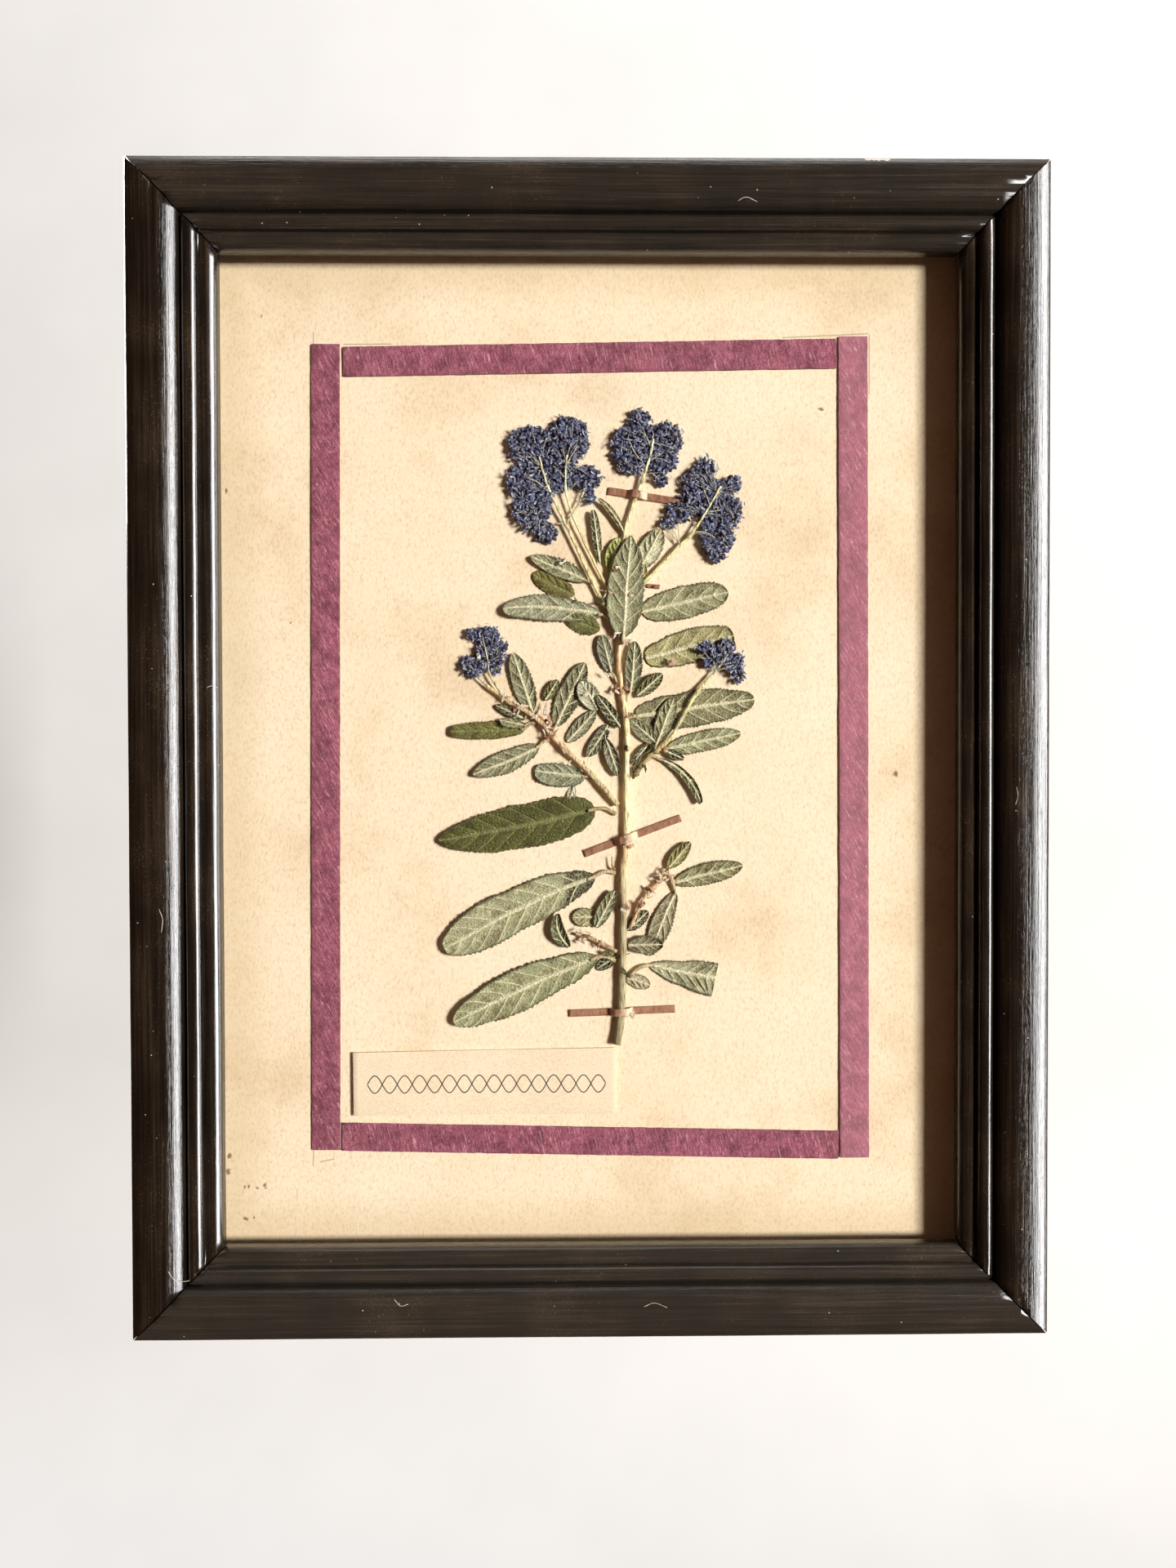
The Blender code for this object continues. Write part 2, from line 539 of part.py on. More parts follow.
def add_flower_heads():
    add_flower_head("flower_head_left", [(-7.6, 66.4, 5.2, 4.2), (-5.2, 74.8, 5.5, 5.7), (-14.1, 73.3, 5.5, 5.0),
                                         (-15.6, 64.9, 4.5, 4.6), (-14.1, 57.9, 4.7, 4.7), (-10.6, 53.0, 3.0, 2.9),
                                         (-0.8, 65.8, 3.5, 3.3), (0.2, 61.8, 1.5, 2.4)])
    add_flower_head("flower_head_middle", [(10.3, 72.8, 5.0, 6.4), (12.2, 80.0, 2.5, 2.6), (18.4, 74.8, 4.2, 4.5),
                                           (17.2, 69.8, 4.2, 3.4), (17.2, 65.6, 2.0, 1.9)])
    add_flower_head("flower_head_right", [(26.2, 62.9, 4.4, 5.8), (28.1, 68.2, 2.6, 2.6), (31.3, 61.0, 3.6, 4.6),
                                          (34.6, 64.6, 2.1, 2.1), (34.1, 57.9, 2.8, 4.0), (30.6, 51.9, 4.3, 5.6),
                                          (30.8, 47.3, 2.3, 2.0), (21.6, 57.4, 3.6, 2.7), (18.9, 54.9, 1.7, 1.6)])
    add_flower_head("flower_head_low_left", [(-25.1, 23.6, 2.9, 3.2), (-24.9, 28.1, 3.4, 2.4), (-28.9, 28.4, 1.5, 1.3),
                                             (-21.9, 24.6, 2.6, 3.0), (-28.1, 20.7, 3.2, 2.8), (-22.9, 21.1, 2.2, 2.3)])
    add_flower_head("flower_head_low_right", [(31.1, 23.2, 2.6, 2.4), (28.6, 24.9, 3.0, 1.6), (33.0, 25.4, 2.5, 2.0),
                                              (28.8, 21.5, 1.8, 1.6), (34.5, 21.8, 2.8, 2.9), (35.5, 18.6, 1.9, 2.2)])


add_frame()
add_filling()
add_brads()
add_hanger()
add_hanger_nails()
add_border_strips()
add_straps()
add_label()
add_stems()
add_lower_leaves()
add_crown_leaves()
add_left_branch_leaves()
add_right_branch_leaves()
add_flower_heads()
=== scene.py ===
import math
import random

import bmesh
import bpy
from mathutils import Matrix, Vector, noise


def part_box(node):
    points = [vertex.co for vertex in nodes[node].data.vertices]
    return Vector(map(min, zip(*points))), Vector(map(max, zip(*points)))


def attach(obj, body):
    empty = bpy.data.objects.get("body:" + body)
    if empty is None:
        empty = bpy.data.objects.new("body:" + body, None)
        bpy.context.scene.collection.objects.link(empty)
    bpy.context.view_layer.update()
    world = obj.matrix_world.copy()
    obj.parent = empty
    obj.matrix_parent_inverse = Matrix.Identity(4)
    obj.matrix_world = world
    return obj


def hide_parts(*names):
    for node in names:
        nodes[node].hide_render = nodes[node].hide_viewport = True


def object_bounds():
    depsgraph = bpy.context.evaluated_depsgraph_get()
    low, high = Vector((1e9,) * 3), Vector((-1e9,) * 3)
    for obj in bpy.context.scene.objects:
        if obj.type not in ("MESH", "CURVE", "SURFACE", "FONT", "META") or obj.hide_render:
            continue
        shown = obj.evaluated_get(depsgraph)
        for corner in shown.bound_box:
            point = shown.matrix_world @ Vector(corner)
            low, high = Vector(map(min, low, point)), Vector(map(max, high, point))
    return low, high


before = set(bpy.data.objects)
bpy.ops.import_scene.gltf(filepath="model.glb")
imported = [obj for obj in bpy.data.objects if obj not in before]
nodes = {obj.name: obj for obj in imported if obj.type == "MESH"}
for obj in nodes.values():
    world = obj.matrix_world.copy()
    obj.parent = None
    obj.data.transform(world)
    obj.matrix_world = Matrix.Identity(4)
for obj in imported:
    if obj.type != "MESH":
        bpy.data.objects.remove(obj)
cad_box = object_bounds()


# Frame rails
# Four lengths of moulded softwood, mitred and glued. Thin brown-black paint was brushed on along the
# grain by hand, so it lies in streaks, has worn off the outer arris and holds a little dust.
MM = 0.001
FRAME_HALF_WIDTH = 107
FRAME_HALF_HEIGHT = 137
RAIL_WAVER = 0.05 * MM
RAIL_CUT = 5 * MM
ARRIS_Y = -8.4
CHIP_BACK_Y = -7.4
TOP_RAIL_CHIP = (66.4, 3.0, 1.1)
RAIL_DUST = {"top": 0.02, "bottom": 0.03}
ALONG_X, ALONG_Z = Vector((1, 0, 0)), Vector((0, 0, 1))


def linear(code):
    """An sRGB hex colour as linear red, green, blue and alpha."""
    parts = [int(code[i:i + 2], 16) / 255 for i in (1, 3, 5)]
    return [p / 12.92 if p <= 0.04045 else ((p + 0.055) / 1.055) ** 2.4 for p in parts] + [1.0]


def feed(tree, node, feeds):
    """Feeds a node's inputs with nodes, sockets or values. A string is an sRGB hex colour."""
    for key, value in feeds.items():
        socket = node.inputs[key] if isinstance(key, int) else next(
            s for s in node.inputs if s.name == key and s.enabled)
        if isinstance(value, bpy.types.Node):
            value = next(s for s in value.outputs if s.enabled)
        if isinstance(value, bpy.types.NodeSocket):
            tree.links.new(value, socket)
        else:
            socket.default_value = linear(value) if isinstance(value, str) else value


def add_node(tree, kind, feeds=None, stops=(), **settings):
    """A shader node with its settings, its inputs fed, and a ramp's stops."""
    node = tree.nodes.new("ShaderNode" + kind)
    for key, value in settings.items():
        setattr(node, key, value)
    feed(tree, node, feeds or {})
    if stops:
        ramp = node.color_ramp.elements
        while len(ramp) < len(stops):
            ramp.new(0.5)
        for element, (place, colour) in zip(ramp, stops):
            element.position = place
            element.color = linear(colour)
    return node


def start_material(name, roughness, shine=0.5, **sockets):
    """A new material with its tree and its Principled shader."""
    made = bpy.data.materials.new(name)
    made.use_nodes = True
    tree = made.node_tree
    shader = tree.nodes["Principled BSDF"]
    feed(tree, shader, {"Roughness": roughness, "Specular IOR Level": shine, **sockets})
    return made, tree, shader


def millimetres(tree, turn=0.0, stretch=(1, 1, 1)):
    """Object coordinates in millimetres, turned about Y and then stretched."""
    place = add_node(tree, "Mapping", {"Vector": add_node(tree, "TexCoord").outputs["Object"],
                                       "Rotation": (0, turn, 0), "Scale": (1 / MM,) * 3})
    return add_node(tree, "Mapping", {"Vector": place, "Scale": stretch})


def clouds(tree, scale, detail=2.0, roughness=0.5, stretch=(1, 1, 1), turn=0.0, swirl=0.0):
    """A noise pattern with its scale in waves to the millimetre."""
    return add_node(tree, "TexNoise", {"Vector": millimetres(tree, turn, stretch), "Scale": scale, "Detail": detail,
                                       "Roughness": roughness, "Distortion": swirl})


def maths(tree, operation, first, second=0.0):
    return add_node(tree, "Math", {0: first, 1: second}, operation=operation)


def times(tree, first, second):
    return maths(tree, "MULTIPLY", first, second)


def plus(tree, first, second):
    return maths(tree, "ADD", first, second)


def size_of(tree, value):
    return maths(tree, "ABSOLUTE", value)


def fade(tree, value, start, end, first, last, kind="LINEAR"):
    """Goes from first to last while the value goes from start to end."""
    return add_node(tree, "MapRange", {"Value": value, "From Min": start, "From Max": end, "To Min": first,
                                       "To Max": last}, interpolation_type=kind)


def ramp(tree, value, *stops):
    return add_node(tree, "ValToRGB", {"Fac": value}, stops=stops)


def blend(tree, share, below, above, kind="MIX"):
    """The colour below with a share of the one above it."""
    return add_node(tree, "Mix", {"Factor": share, "A": below, "B": above}, data_type="RGBA",
                    blend_type=kind).outputs[2]


def relief(tree, height, strength, depth, under=None):
    """A bump of a depth in millimetres."""
    feeds = {"Height": height, "Strength": strength, "Distance": depth * MM}
    return add_node(tree, "Bump", {**feeds, "Normal": under} if under else feeds)


def attribute(tree, name, output="Fac"):
    return add_node(tree, "Attribute", attribute_name=name).outputs[output]


def as_mesh(name, bm):
    """Turns a finished bmesh into a mesh."""
    mesh = bpy.data.meshes.new(name)
    bm.to_mesh(mesh)
    bm.free()
    return mesh


def finish_piece(name, bm, material, slot, *stands_for, sharp=None):
    """Puts a finished bmesh in the scene as a piece, smooth-shaded but for edges past the sharp angle."""
    mesh = as_mesh(name, bm)
    mesh.shade_smooth()
    if sharp is not None:
        mesh.set_sharp_from_angle(angle=math.radians(sharp))
    mesh.materials.append(material)
    piece = bpy.data.objects.new(name, mesh)
    bpy.context.scene.collection.objects.link(piece)
    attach(piece, "root")
    if stands_for:
        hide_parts(*stands_for)
    return piece


def cover(node, material):
    """Gives a plain solid its material."""
    nodes[node].data.materials.clear()
    nodes[node].data.materials.append(material)


def brushed_paint(side, reach, turn):
    """Satin paint brushed along one rail. Streaks run 20 mm and lie 0.5 mm apart; dust is 0.2 mm specks.
    It has worn thin along the front arris and is duller on the frame's side; the top rail has one pale chip."""
    made, tree, shader = start_material(f"brushed_black_paint_{side}", 0.2)
    dust = RAIL_DUST.get(side, 0.0)
    place = millimetres(tree, turn)
    parts = add_node(tree, "SeparateXYZ", {"Vector": place}).outputs
    across = maths(tree, "SUBTRACT", reach, size_of(tree, parts["Z"]))
    streak = clouds(tree, 1.0, 5.0, 0.65, (0.03, 1.7, 1.7), turn)
    cloud = clouds(tree, 0.06, 3.0, turn=turn)
    grime = clouds(tree, 2.2, 3.0, 0.7, turn=turn)
    speck = add_node(tree, "TexVoronoi", {"Vector": place, "Scale": 0.36, "Randomness": 1.0}).outputs
    chosen = maths(tree, "GREATER_THAN", add_node(tree, "SeparateColor", {"Color": speck["Color"]}), 0.84)
    specks = times(tree, chosen, fade(tree, speck["Distance"], 0.03, 0.075, 0.9, 0.0))
    film = fade(tree, plus(tree, grime, times(tree, cloud, 0.25)), 0.76, 0.9, dust, 0.14 + dust)
    worn = fade(tree, plus(tree, across, times(tree, streak, 2.4)), 1.2, 2.0, 0.75, 0.0)
    flank = maths(tree, "MINIMUM", fade(tree, across, 0.12, 0.4, 1.0, 0.0),
                  fade(tree, parts["Y"], ARRIS_Y, ARRIS_Y + 0.5, 0.0, 1.0))
    body = ramp(tree, plus(tree, times(tree, streak, 0.6), times(tree, cloud, 0.4)),
                (0.35, "#0e0a08"), (0.5, "#1f1812"), (0.66, "#362b21"))
    colour = blend(tree, maths(tree, "SUBTRACT", worn, flank), body, "#6f6257")
    colour = blend(tree, maths(tree, "MAXIMUM", specks, film), colour, "#cdc6ba")
    if side == "top":
        middle, half, depth = TOP_RAIL_CHIP
        beside = maths(tree, "SUBTRACT", half, size_of(tree, maths(tree, "SUBTRACT", parts["X"], middle)))
        inside = maths(tree, "MINIMUM", beside, maths(tree, "SUBTRACT", depth, across))
        inside = maths(tree, "MINIMUM", inside, maths(tree, "SUBTRACT", CHIP_BACK_Y, parts["Y"]))
        ragged = times(tree, clouds(tree, 1.3, 4.0, turn=turn), 1.3)
        colour = blend(tree, maths(tree, "GREATER_THAN", plus(tree, inside, ragged), 0.75), colour, "#d9cdbb")
    beads = fade(tree, across, 11.6, 12.6, 1.0, 0.3)
    rough = maths(tree, "MAXIMUM", fade(tree, streak, 0.3, 0.7, 0.14, 0.3), times(tree, flank, 0.5))
    brushing = relief(tree, times(tree, streak, beads), 1.0, 0.13)
    feed(tree, shader, {"Base Color": colour, "Roughness": rough, "Normal": relief(tree, grime, 0.1, 0.03, brushing),
                        "Specular IOR Level": fade(tree, flank, 0.0, 1.0, 0.6, 0.15)})
    return made


def rail_bmesh(source, lengthwise):
    """A welded copy of a rail, cut across every few millimetres so that its mouldings can waver a little."""
    bm = bmesh.new()
    bm.from_mesh(source.data)
    bmesh.ops.remove_doubles(bm, verts=bm.verts, dist=0.001 * MM)
    bmesh.ops.dissolve_limit(bm, angle_limit=math.radians(0.5), verts=bm.verts, edges=bm.edges)
    reach = int(max(abs(v.co.dot(lengthwise)) for v in bm.verts) / RAIL_CUT)
    for cut in range(-reach, reach + 1):
        bmesh.ops.bisect_plane(bm, geom=bm.verts[:] + bm.edges[:] + bm.faces[:], dist=0.01 * MM,
                               plane_co=lengthwise * cut * RAIL_CUT, plane_no=lengthwise)
    for vert in bm.verts:
        shift = noise.noise_vector(vert.co / (22 * MM)) * RAIL_WAVER
        vert.co += shift - lengthwise * shift.dot(lengthwise)
        vert.co = [max(low, min(high, value)) for value, low, high in zip(vert.co, *cad_box)]
    bm.normal_update()
    return bm


# Unseeded, the noise vectors would start from the clock
noise.seed_set(1)
for side, lengthwise, reach, turn in (
        ("top", ALONG_X, FRAME_HALF_HEIGHT, 0.0), ("bottom", ALONG_X, FRAME_HALF_HEIGHT, 0.0),
        ("left", ALONG_Z, FRAME_HALF_WIDTH, math.pi / 2), ("right", ALONG_Z, FRAME_HALF_WIDTH, math.pi / 2)):
    node = f"frame_rail_{side}"
    finish_piece(f"moulded_rail_{side}", rail_bmesh(nodes[node], lengthwise), brushed_paint(side, reach, turn),
                 "black_lacquer", node, sharp=32)


# Dust threads
# A few pale lint threads that cling to the paint and hang in the grooves, each a tenth of a millimetre
# thick and some millimetres long.
THREAD_RADIUS = 0.055
THREAD_LIFT = 0.03 * MM
THREAD_ROOM = 0.07 * MM


def on_rail(side, x, z):
    """A place on a rail's face, found by looking straight back at it."""
    rail = bpy.data.objects[f"moulded_rail_{side}"]
    spot = rail.ray_cast(Vector((x * MM, -0.05, z * MM)), Vector((0, 1, 0)))[1]
    return Vector((spot.x, max(spot.y - THREAD_LIFT, cad_box[0].y + THREAD_ROOM), spot.z))


def smooth_route(points, steps):
    """Points on a smooth curve through the given ones, with steps to each stretch."""
    ends = [2 * points[0] - points[1], *points, 2 * points[-1] - points[-2]]
    route = []
    for i in range(1, len(ends) - 2):
        before, start, end, after = ends[i - 1:i + 3]
        for step in range(steps):
            t = step / steps
            route.append(0.5 * (2 * start + (end - before) * t
                                + (2 * before - 5 * start + 4 * end - after) * t ** 2
                                + (3 * start - before - 3 * end + after) * t ** 3))
    route.append(points[-1].copy())
    return route


def stalks_bmesh(stalks, roundness=2):
    """Round stalks as one bmesh. Each stalk is its points and the radius in millimetres at each."""
    curve = bpy.data.curves.new("stalks", "CURVE")
    curve.dimensions = "3D"
    curve.bevel_depth = MM
    curve.bevel_resolution = roundness
    curve.use_fill_caps = True
    for points, radii in stalks:
        spline = curve.splines.new("POLY")
        spline.points.add(len(points) - 1)
        for knot, point, radius in zip(spline.points, points, radii):
            knot.co = (*point, 1.0)
            knot.radius = radius
    guide = bpy.data.objects.new("stalks", curve)
    bpy.context.scene.collection.objects.link(guide)
    mesh = bpy.data.meshes.new_from_object(guide.evaluated_get(bpy.context.evaluated_depsgraph_get()))
    bpy.data.objects.remove(guide)
    bm = bmesh.new()
    bm.from_mesh(mesh)
    bmesh.ops.remove_doubles(bm, verts=bm.verts, dist=0.005 * MM)
    bmesh.ops.recalc_face_normals(bm, faces=bm.faces)
    bm.normal_update()
    return bm


def mottled(name, roughness, scale, *stops, shine=0.5):
    """A plain material whose colour wanders between the stops in clouds."""
    made, tree, shader = start_material(name, roughness, shine)
    feed(tree, shader, {"Base Color": ramp(tree, clouds(tree, scale), *stops)})
    return made


LINT = [("left", [(-100.8, 22.2), (-100.7, 18.0), (-100.4, 15.2), (-99.6, 13.6)]),
        ("left", [(-89.4, 15.0), (-88.4, 15.5), (-87.3, 15.2)]),
        ("left", [(-99.4, -36.0), (-98.6, -38.5), (-98.9, -41.5)]),
        ("left", [(-98.0, -120.0), (-96.5, -122.5), (-94.0, -123.2), (-92.4, -121.6)]),
        ("right", [(99.4, 115.6), (100.6, 117.0), (102.0, 116.2), (101.0, 114.6), (99.8, 115.2)]),
        ("right", [(98.6, -8.5), (98.9, -10.5), (98.4, -12.6)]),
        ("top", [(34.0, 126.5), (36.0, 127.2), (38.6, 126.4)]),
        ("bottom", [(12.0, -129.0), (14.5, -128.2), (17.4, -129.2)]),
        ("bottom", [(-46.0, -127.0), (-44.4, -128.4), (-42.6, -128.0)])]
bpy.context.view_layer.update()
threads = [smooth_route([on_rail(side, *place) for place in route], 5) for side, route in LINT]
finish_piece("dust_threads", stalks_bmesh([(way, [THREAD_RADIUS] * len(way)) for way in threads], 1),
             mottled("pale_lint", 0.9, 0.7, (0.4, "#b8b0a4"), (0.6, "#eae4d8")), "black_lacquer")


# Glass pane
# Thin clear picture glass behind the frame's lip. It is flat and clean, so light goes straight through
# it, and it mirrors a few hundredths of what it faces.
pane_glass, tree, shader = start_material("clear_picture_glass", 0.02)
tree.nodes.remove(shader)
front = maths(tree, "SUBTRACT", 1.0, add_node(tree, "NewGeometry").outputs["Backfacing"])
mirrored = times(tree, add_node(tree, "Fresnel", {"IOR": 1.45}), front)
clear = add_node(tree, "BsdfTransparent", {"Color": "#fdfefc"})
gloss = add_node(tree, "BsdfGlossy", {"Color": "#ffffff", "Roughness": 0.02})
feed(tree, tree.nodes["Material Output"], {"Surface": add_node(tree, "MixShader", {0: mirrored, 1: clear, 2: gloss})})
cover("glass_pane", pane_glass)


# Mounting card
# A sheet of thin cream card, browned by age, and darker and browner towards the frame's lip, with foxing,
# a few fly specks and the pencil lines by which the border was laid out.
CARD_FACE_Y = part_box("mount_card")[0].y
PENCIL_LINES = [((-66.2, 98.0), (-66.2, 100.9)), ((-59.0, 98.0), (-47.5, 98.1)), ((46.6, 99.8), (67.4, 100.8)),
                ((67.6, 86.2), (67.6, 100.6)), ((-67.3, -96.2), (-67.4, -100.2)), ((-65.8, -99.3), (-62.2, -98.5))]
SPECKS = [(74.1, -5.5, 1.0), (56.0, 82.8, 0.7), (-84.1, -105.4, 0.4), (-82.9, -105.1, 0.5), (-81.0, -105.3, 0.45),
          (-79.2, -104.6, 0.5), (-79.0, -105.4, 0.35), (-83.6, -113.2, 0.5), (-82.0, -113.1, 0.4),
          (-87.4, -97.5, 0.9), (-87.6, -101.5, 0.8), (-87.2, 62.8, 0.6), (-78.7, 104.6, 0.35),
          (-51.6, 94.0, 0.2), (58.2, -76.0, 0.25), (80.3, -98.1, 0.3), (60.1, 60.4, 0.25), (-71.9, 31.0, 0.25)]
STAINS = [(2.5, 87.5, 9.0, 0.5), (76.0, 104.0, 26.0, 0.35), (78.0, 40.0, 14.0, 0.3), (79.0, -30.0, 12.0, 0.25),
          (-84.0, 20.0, 11.0, 0.25), (20.0, -112.0, 30.0, 0.25), (-60.0, 108.0, 24.0, 0.22), (50.0, 76.0, 9.0, 0.2)]
TONED_HALF_WIDTH = 87.0
TONED_HALF_HEIGHT = 117.0
STRAY = 3.0


def on_card(x, z, height):
    """A place on the card in millimetres, and how far it stands off the card's face."""
    return Vector((x * MM, CARD_FACE_Y - height * MM, z * MM))


def strayed(tree, place, pattern, reach):
    """The place, moved about by a pattern's colours, so that what is drawn there isn't regular."""
    shift = add_node(tree, "VectorMath", {0: pattern.outputs["Color"], 1: (reach, 0.0, reach)}, operation="MULTIPLY")
    return add_node(tree, "VectorMath", {0: place, 1: shift}, operation="ADD")


def mark_distance(tree, place, x, z):
    """How far a strayed place is from a mark, which is moved by half the stray too."""
    mark = (x + STRAY / 2, CARD_FACE_Y / MM, z + STRAY / 2)
    return add_node(tree, "VectorMath", {0: place, 1: mark}, operation="DISTANCE").outputs["Value"]


def aged_card():
    """Cream pulp card: fibres 0.4 mm long, foxing in soft clouds, and marks drawn by their distance."""
    made, tree, shader = start_material("aged_cream_card", 0.88, 0.25)
    place = millimetres(tree)
    parts = add_node(tree, "SeparateXYZ", {"Vector": place}).outputs
    wander = clouds(tree, 0.35, 3.0)
    warped = strayed(tree, place, wander, STRAY)
    pulp = clouds(tree, 1.9, 5.0, 0.7, (1.0, 1.0, 0.55))
    base = ramp(tree, clouds(tree, 0.03, 4.0, 0.6), (0.3, "#ecd7c2"), (0.48, "#faeada"), (0.7, "#fdefe2"))
    fibre = ramp(tree, pulp, (0.3, "#dccbb6"), (0.5, "#fdf6ee"), (0.72, "#ffffff"))
    colour = blend(tree, 0.75, base, fibre, "MULTIPLY")
    edge = maths(tree, "MINIMUM", maths(tree, "SUBTRACT", TONED_HALF_WIDTH, size_of(tree, parts["X"])),
                 maths(tree, "SUBTRACT", TONED_HALF_HEIGHT, size_of(tree, parts["Z"])))
    near_lip_darkening = fade(tree, plus(tree, edge, times(tree, wander, 6.0)), 3.0, 15.0, 0.32, 0.0, "SMOOTHSTEP")
    colour = blend(tree, near_lip_darkening, colour, "#c9a878")
    for x, z, size, strength in STAINS:
        soft = fade(tree, mark_distance(tree, warped, x, z), size * 0.15, size, strength * 0.6, 0.0, "SMOOTHSTEP")
        colour = blend(tree, times(tree, soft, wander), colour, "#a98c66")
    foxing = add_node(tree, "TexVoronoi", {"Vector": place, "Scale": 0.12}).outputs["Distance"]
    marks = fade(tree, foxing, 0.012, 0.03, 0.4, 0.0)
    for x, z, size in SPECKS:
        spot = fade(tree, mark_distance(tree, warped, x, z), size * 0.5, size, 0.8, 0.0)
        marks = maths(tree, "MAXIMUM", spot, marks)
    colour = blend(tree, marks, colour, "#6b4a33")
    graphite = 0.0
    for start, end in PENCIL_LINES:
        middle = ((start[0] + end[0]) / 2, 0, (start[1] + end[1]) / 2)
        lean = math.atan2(end[1] - start[1], end[0] - start[0])
        level = add_node(tree, "VectorRotate", {"Vector": place, "Center": middle, "Axis": (0, 1, 0), "Angle": lean})
        offset = add_node(tree, "VectorMath", {0: level, 1: middle}, operation="SUBTRACT")
        away = add_node(tree, "SeparateXYZ", {"Vector": offset}).outputs
        within = maths(tree, "LESS_THAN", size_of(tree, away["X"]), math.dist(start, end) / 2)
        line = fade(tree, size_of(tree, away["Z"]), 0.06, 0.2, 0.62, 0.0)
        graphite = maths(tree, "MAXIMUM", times(tree, within, line), graphite)
    skipping = times(tree, graphite, fade(tree, pulp, 0.3, 0.6, 0.6, 1.0))
    colour = blend(tree, skipping, colour, "#6d675f")
    feed(tree, shader, {"Base Color": colour, "Normal": relief(tree, pulp, 0.3, 0.08)})
    return made


cover("mount_card", aged_card())


# Purple paper border
# Four strips of long-fibred handmade paper, dyed purple, cut with a knife and glued down along the
# pencil lines. The dye has faded unevenly, pale fibres lie in the surface, and the strips cockle a little.
RESTING_HEIGHT = 0.4
BORDER_STRIPS = [("left", (-64.1, -96.2), (-63.2, 97.9), 6.8), ("right", (64.2, -98.8), (63.6, 100.0), 7.0),
                 ("top", (-59.0, 93.7), (59.6, 95.9), 7.1), ("bottom", (-60.2, -93.0), (60.2, -95.7), 6.8)]
STRIP_FADING = {"right": 0.22}
PAPER_THICKNESS = 0.2


def face_front(bm):
    """Turns all the faces of a sheet to the front."""
    bmesh.ops.recalc_face_normals(bm, faces=bm.faces)
    bm.normal_update()
    if sum(f.normal.y * f.calc_area() for f in bm.faces) > 0:
        bmesh.ops.reverse_faces(bm, faces=bm.faces)


def sheet_bmesh(columns, rows, place, worn):
    """A grid laid out by place(along 0..1, across -1..1), with a mask by worn(along): dye fading on the strips, a
    painted highlight on the straps.
    """
    bm = bmesh.new()
    bmesh.ops.create_grid(bm, x_segments=columns, y_segments=rows, size=1.0)
    fading_and_highlight = bm.verts.layers.float.new("fading_and_highlight")
    for vert in bm.verts:
        along = (vert.co.x + 1) / 2
        vert.co = place(along, vert.co.y)
        vert[fading_and_highlight] = worn(along)
    face_front(bm)
    return bm


def thicken(piece, thickness, offset=0.0, flat=False):
    """Gives a sheet its thickness, half to each side or, with an offset of -1, all behind."""
    wall = piece.modifiers.new("thickness", "SOLIDIFY")
    wall.thickness = thickness * MM
    wall.offset = offset
    if flat:
        piece.modifiers.new("flat faces", "WEIGHTED_NORMAL")


def fibrous_paper(name, turn):
    """Dyed mulberry paper: fibres 1 to 3 mm long and 0.2 mm wide, mostly along the sheet, over a mottled dye."""
    made, tree, shader = start_material(name, 0.82, 0.3, **{"Sheen Weight": 0.15})
    fibres = clouds(tree, 1.2, 5.0, 0.72, (1.2, 1.0, 2.6), turn, 1.8)
    crossing = clouds(tree, 1.0, 3.0, 0.6, (0.3, 1.0, 3.0), turn + 0.6, 1.0)
    matted = plus(tree, times(tree, fibres, 0.65), times(tree, crossing, 0.35))
    base = ramp(tree, matted, (0.36, "#5f2640"), (0.5, "#9e536e"), (0.64, "#d896ab"))
    dye = ramp(tree, clouds(tree, 0.3, 5.0, 0.6), (0.34, "#a99aa2"), (0.6, "#ffffff"))
    colour = blend(tree, attribute(tree, "fading_and_highlight"), blend(tree, 0.7, base, dye, "MULTIPLY"), "#eeaac2")
    colour = blend(tree, fade(tree, crossing, 0.63, 0.7, 0.0, 0.55), colour, "#ecc3cd")
    feed(tree, shader, {"Base Color": colour, "Normal": relief(tree, matted, 0.9, 0.2)})
    return made


upright_paper = fibrous_paper("purple_fibre_paper_upright", math.pi / 2 - 0.12)
level_paper = fibrous_paper("purple_fibre_paper_level", 1.2)
for side, start, end, width in BORDER_STRIPS:
    line = Vector(end) - Vector(start)
    square = Vector((-line.y, line.x)).normalized() * width / 2

    def strip_place(s, t):
        spot = Vector(start) + line * s + square * t
        spot += square.normalized() * (noise.noise(Vector((spot.x, spot.y, 3.0)) * 0.8) * 0.10 * abs(t) ** 8)
        cockle = noise.noise(Vector((spot.x / 14, spot.y / 14, 1.0)))
        return on_card(spot.x, spot.y, RESTING_HEIGHT + 0.05 + 0.11 * cockle)

    strip = finish_piece(f"purple_strip_{side}",
                         sheet_bmesh(110, 8, strip_place, lambda s: STRIP_FADING.get(side, 0.0)),
                         upright_paper if side in ("left", "right") else level_paper, "purple_paper",
                         f"border_strip_{side}")
    thicken(strip, PAPER_THICKNESS, flat=True)


# Gummed straps
# Narrow slips of brown gummed paper that hold the stem and one flower stalk to the card. Each runs flat,
# climbs over the stalk and comes down again; its crest and the slope past the stalk are painted pale as a highlight.
STRAP_HALF_WIDTH = 0.9
SMALL_STRAP_SHARE = 0.55
STRAPS = [("upper", (4.5, 62.9), (22.6, 60.1), 6.9, 1.5, 0.9),
          ("middle", (-1.4, -24.6), (21.9, -16.0), 10.6, 2.1, 1.5),
          ("lower", (-5.2, -63.3), (20.5, -62.3), 12.6, 2.1, 1.4),
          ("small", (13.9, 40.1), (16.9, 39.8), 0, 0, 0)]
STRAP_SLOPE = 1.6


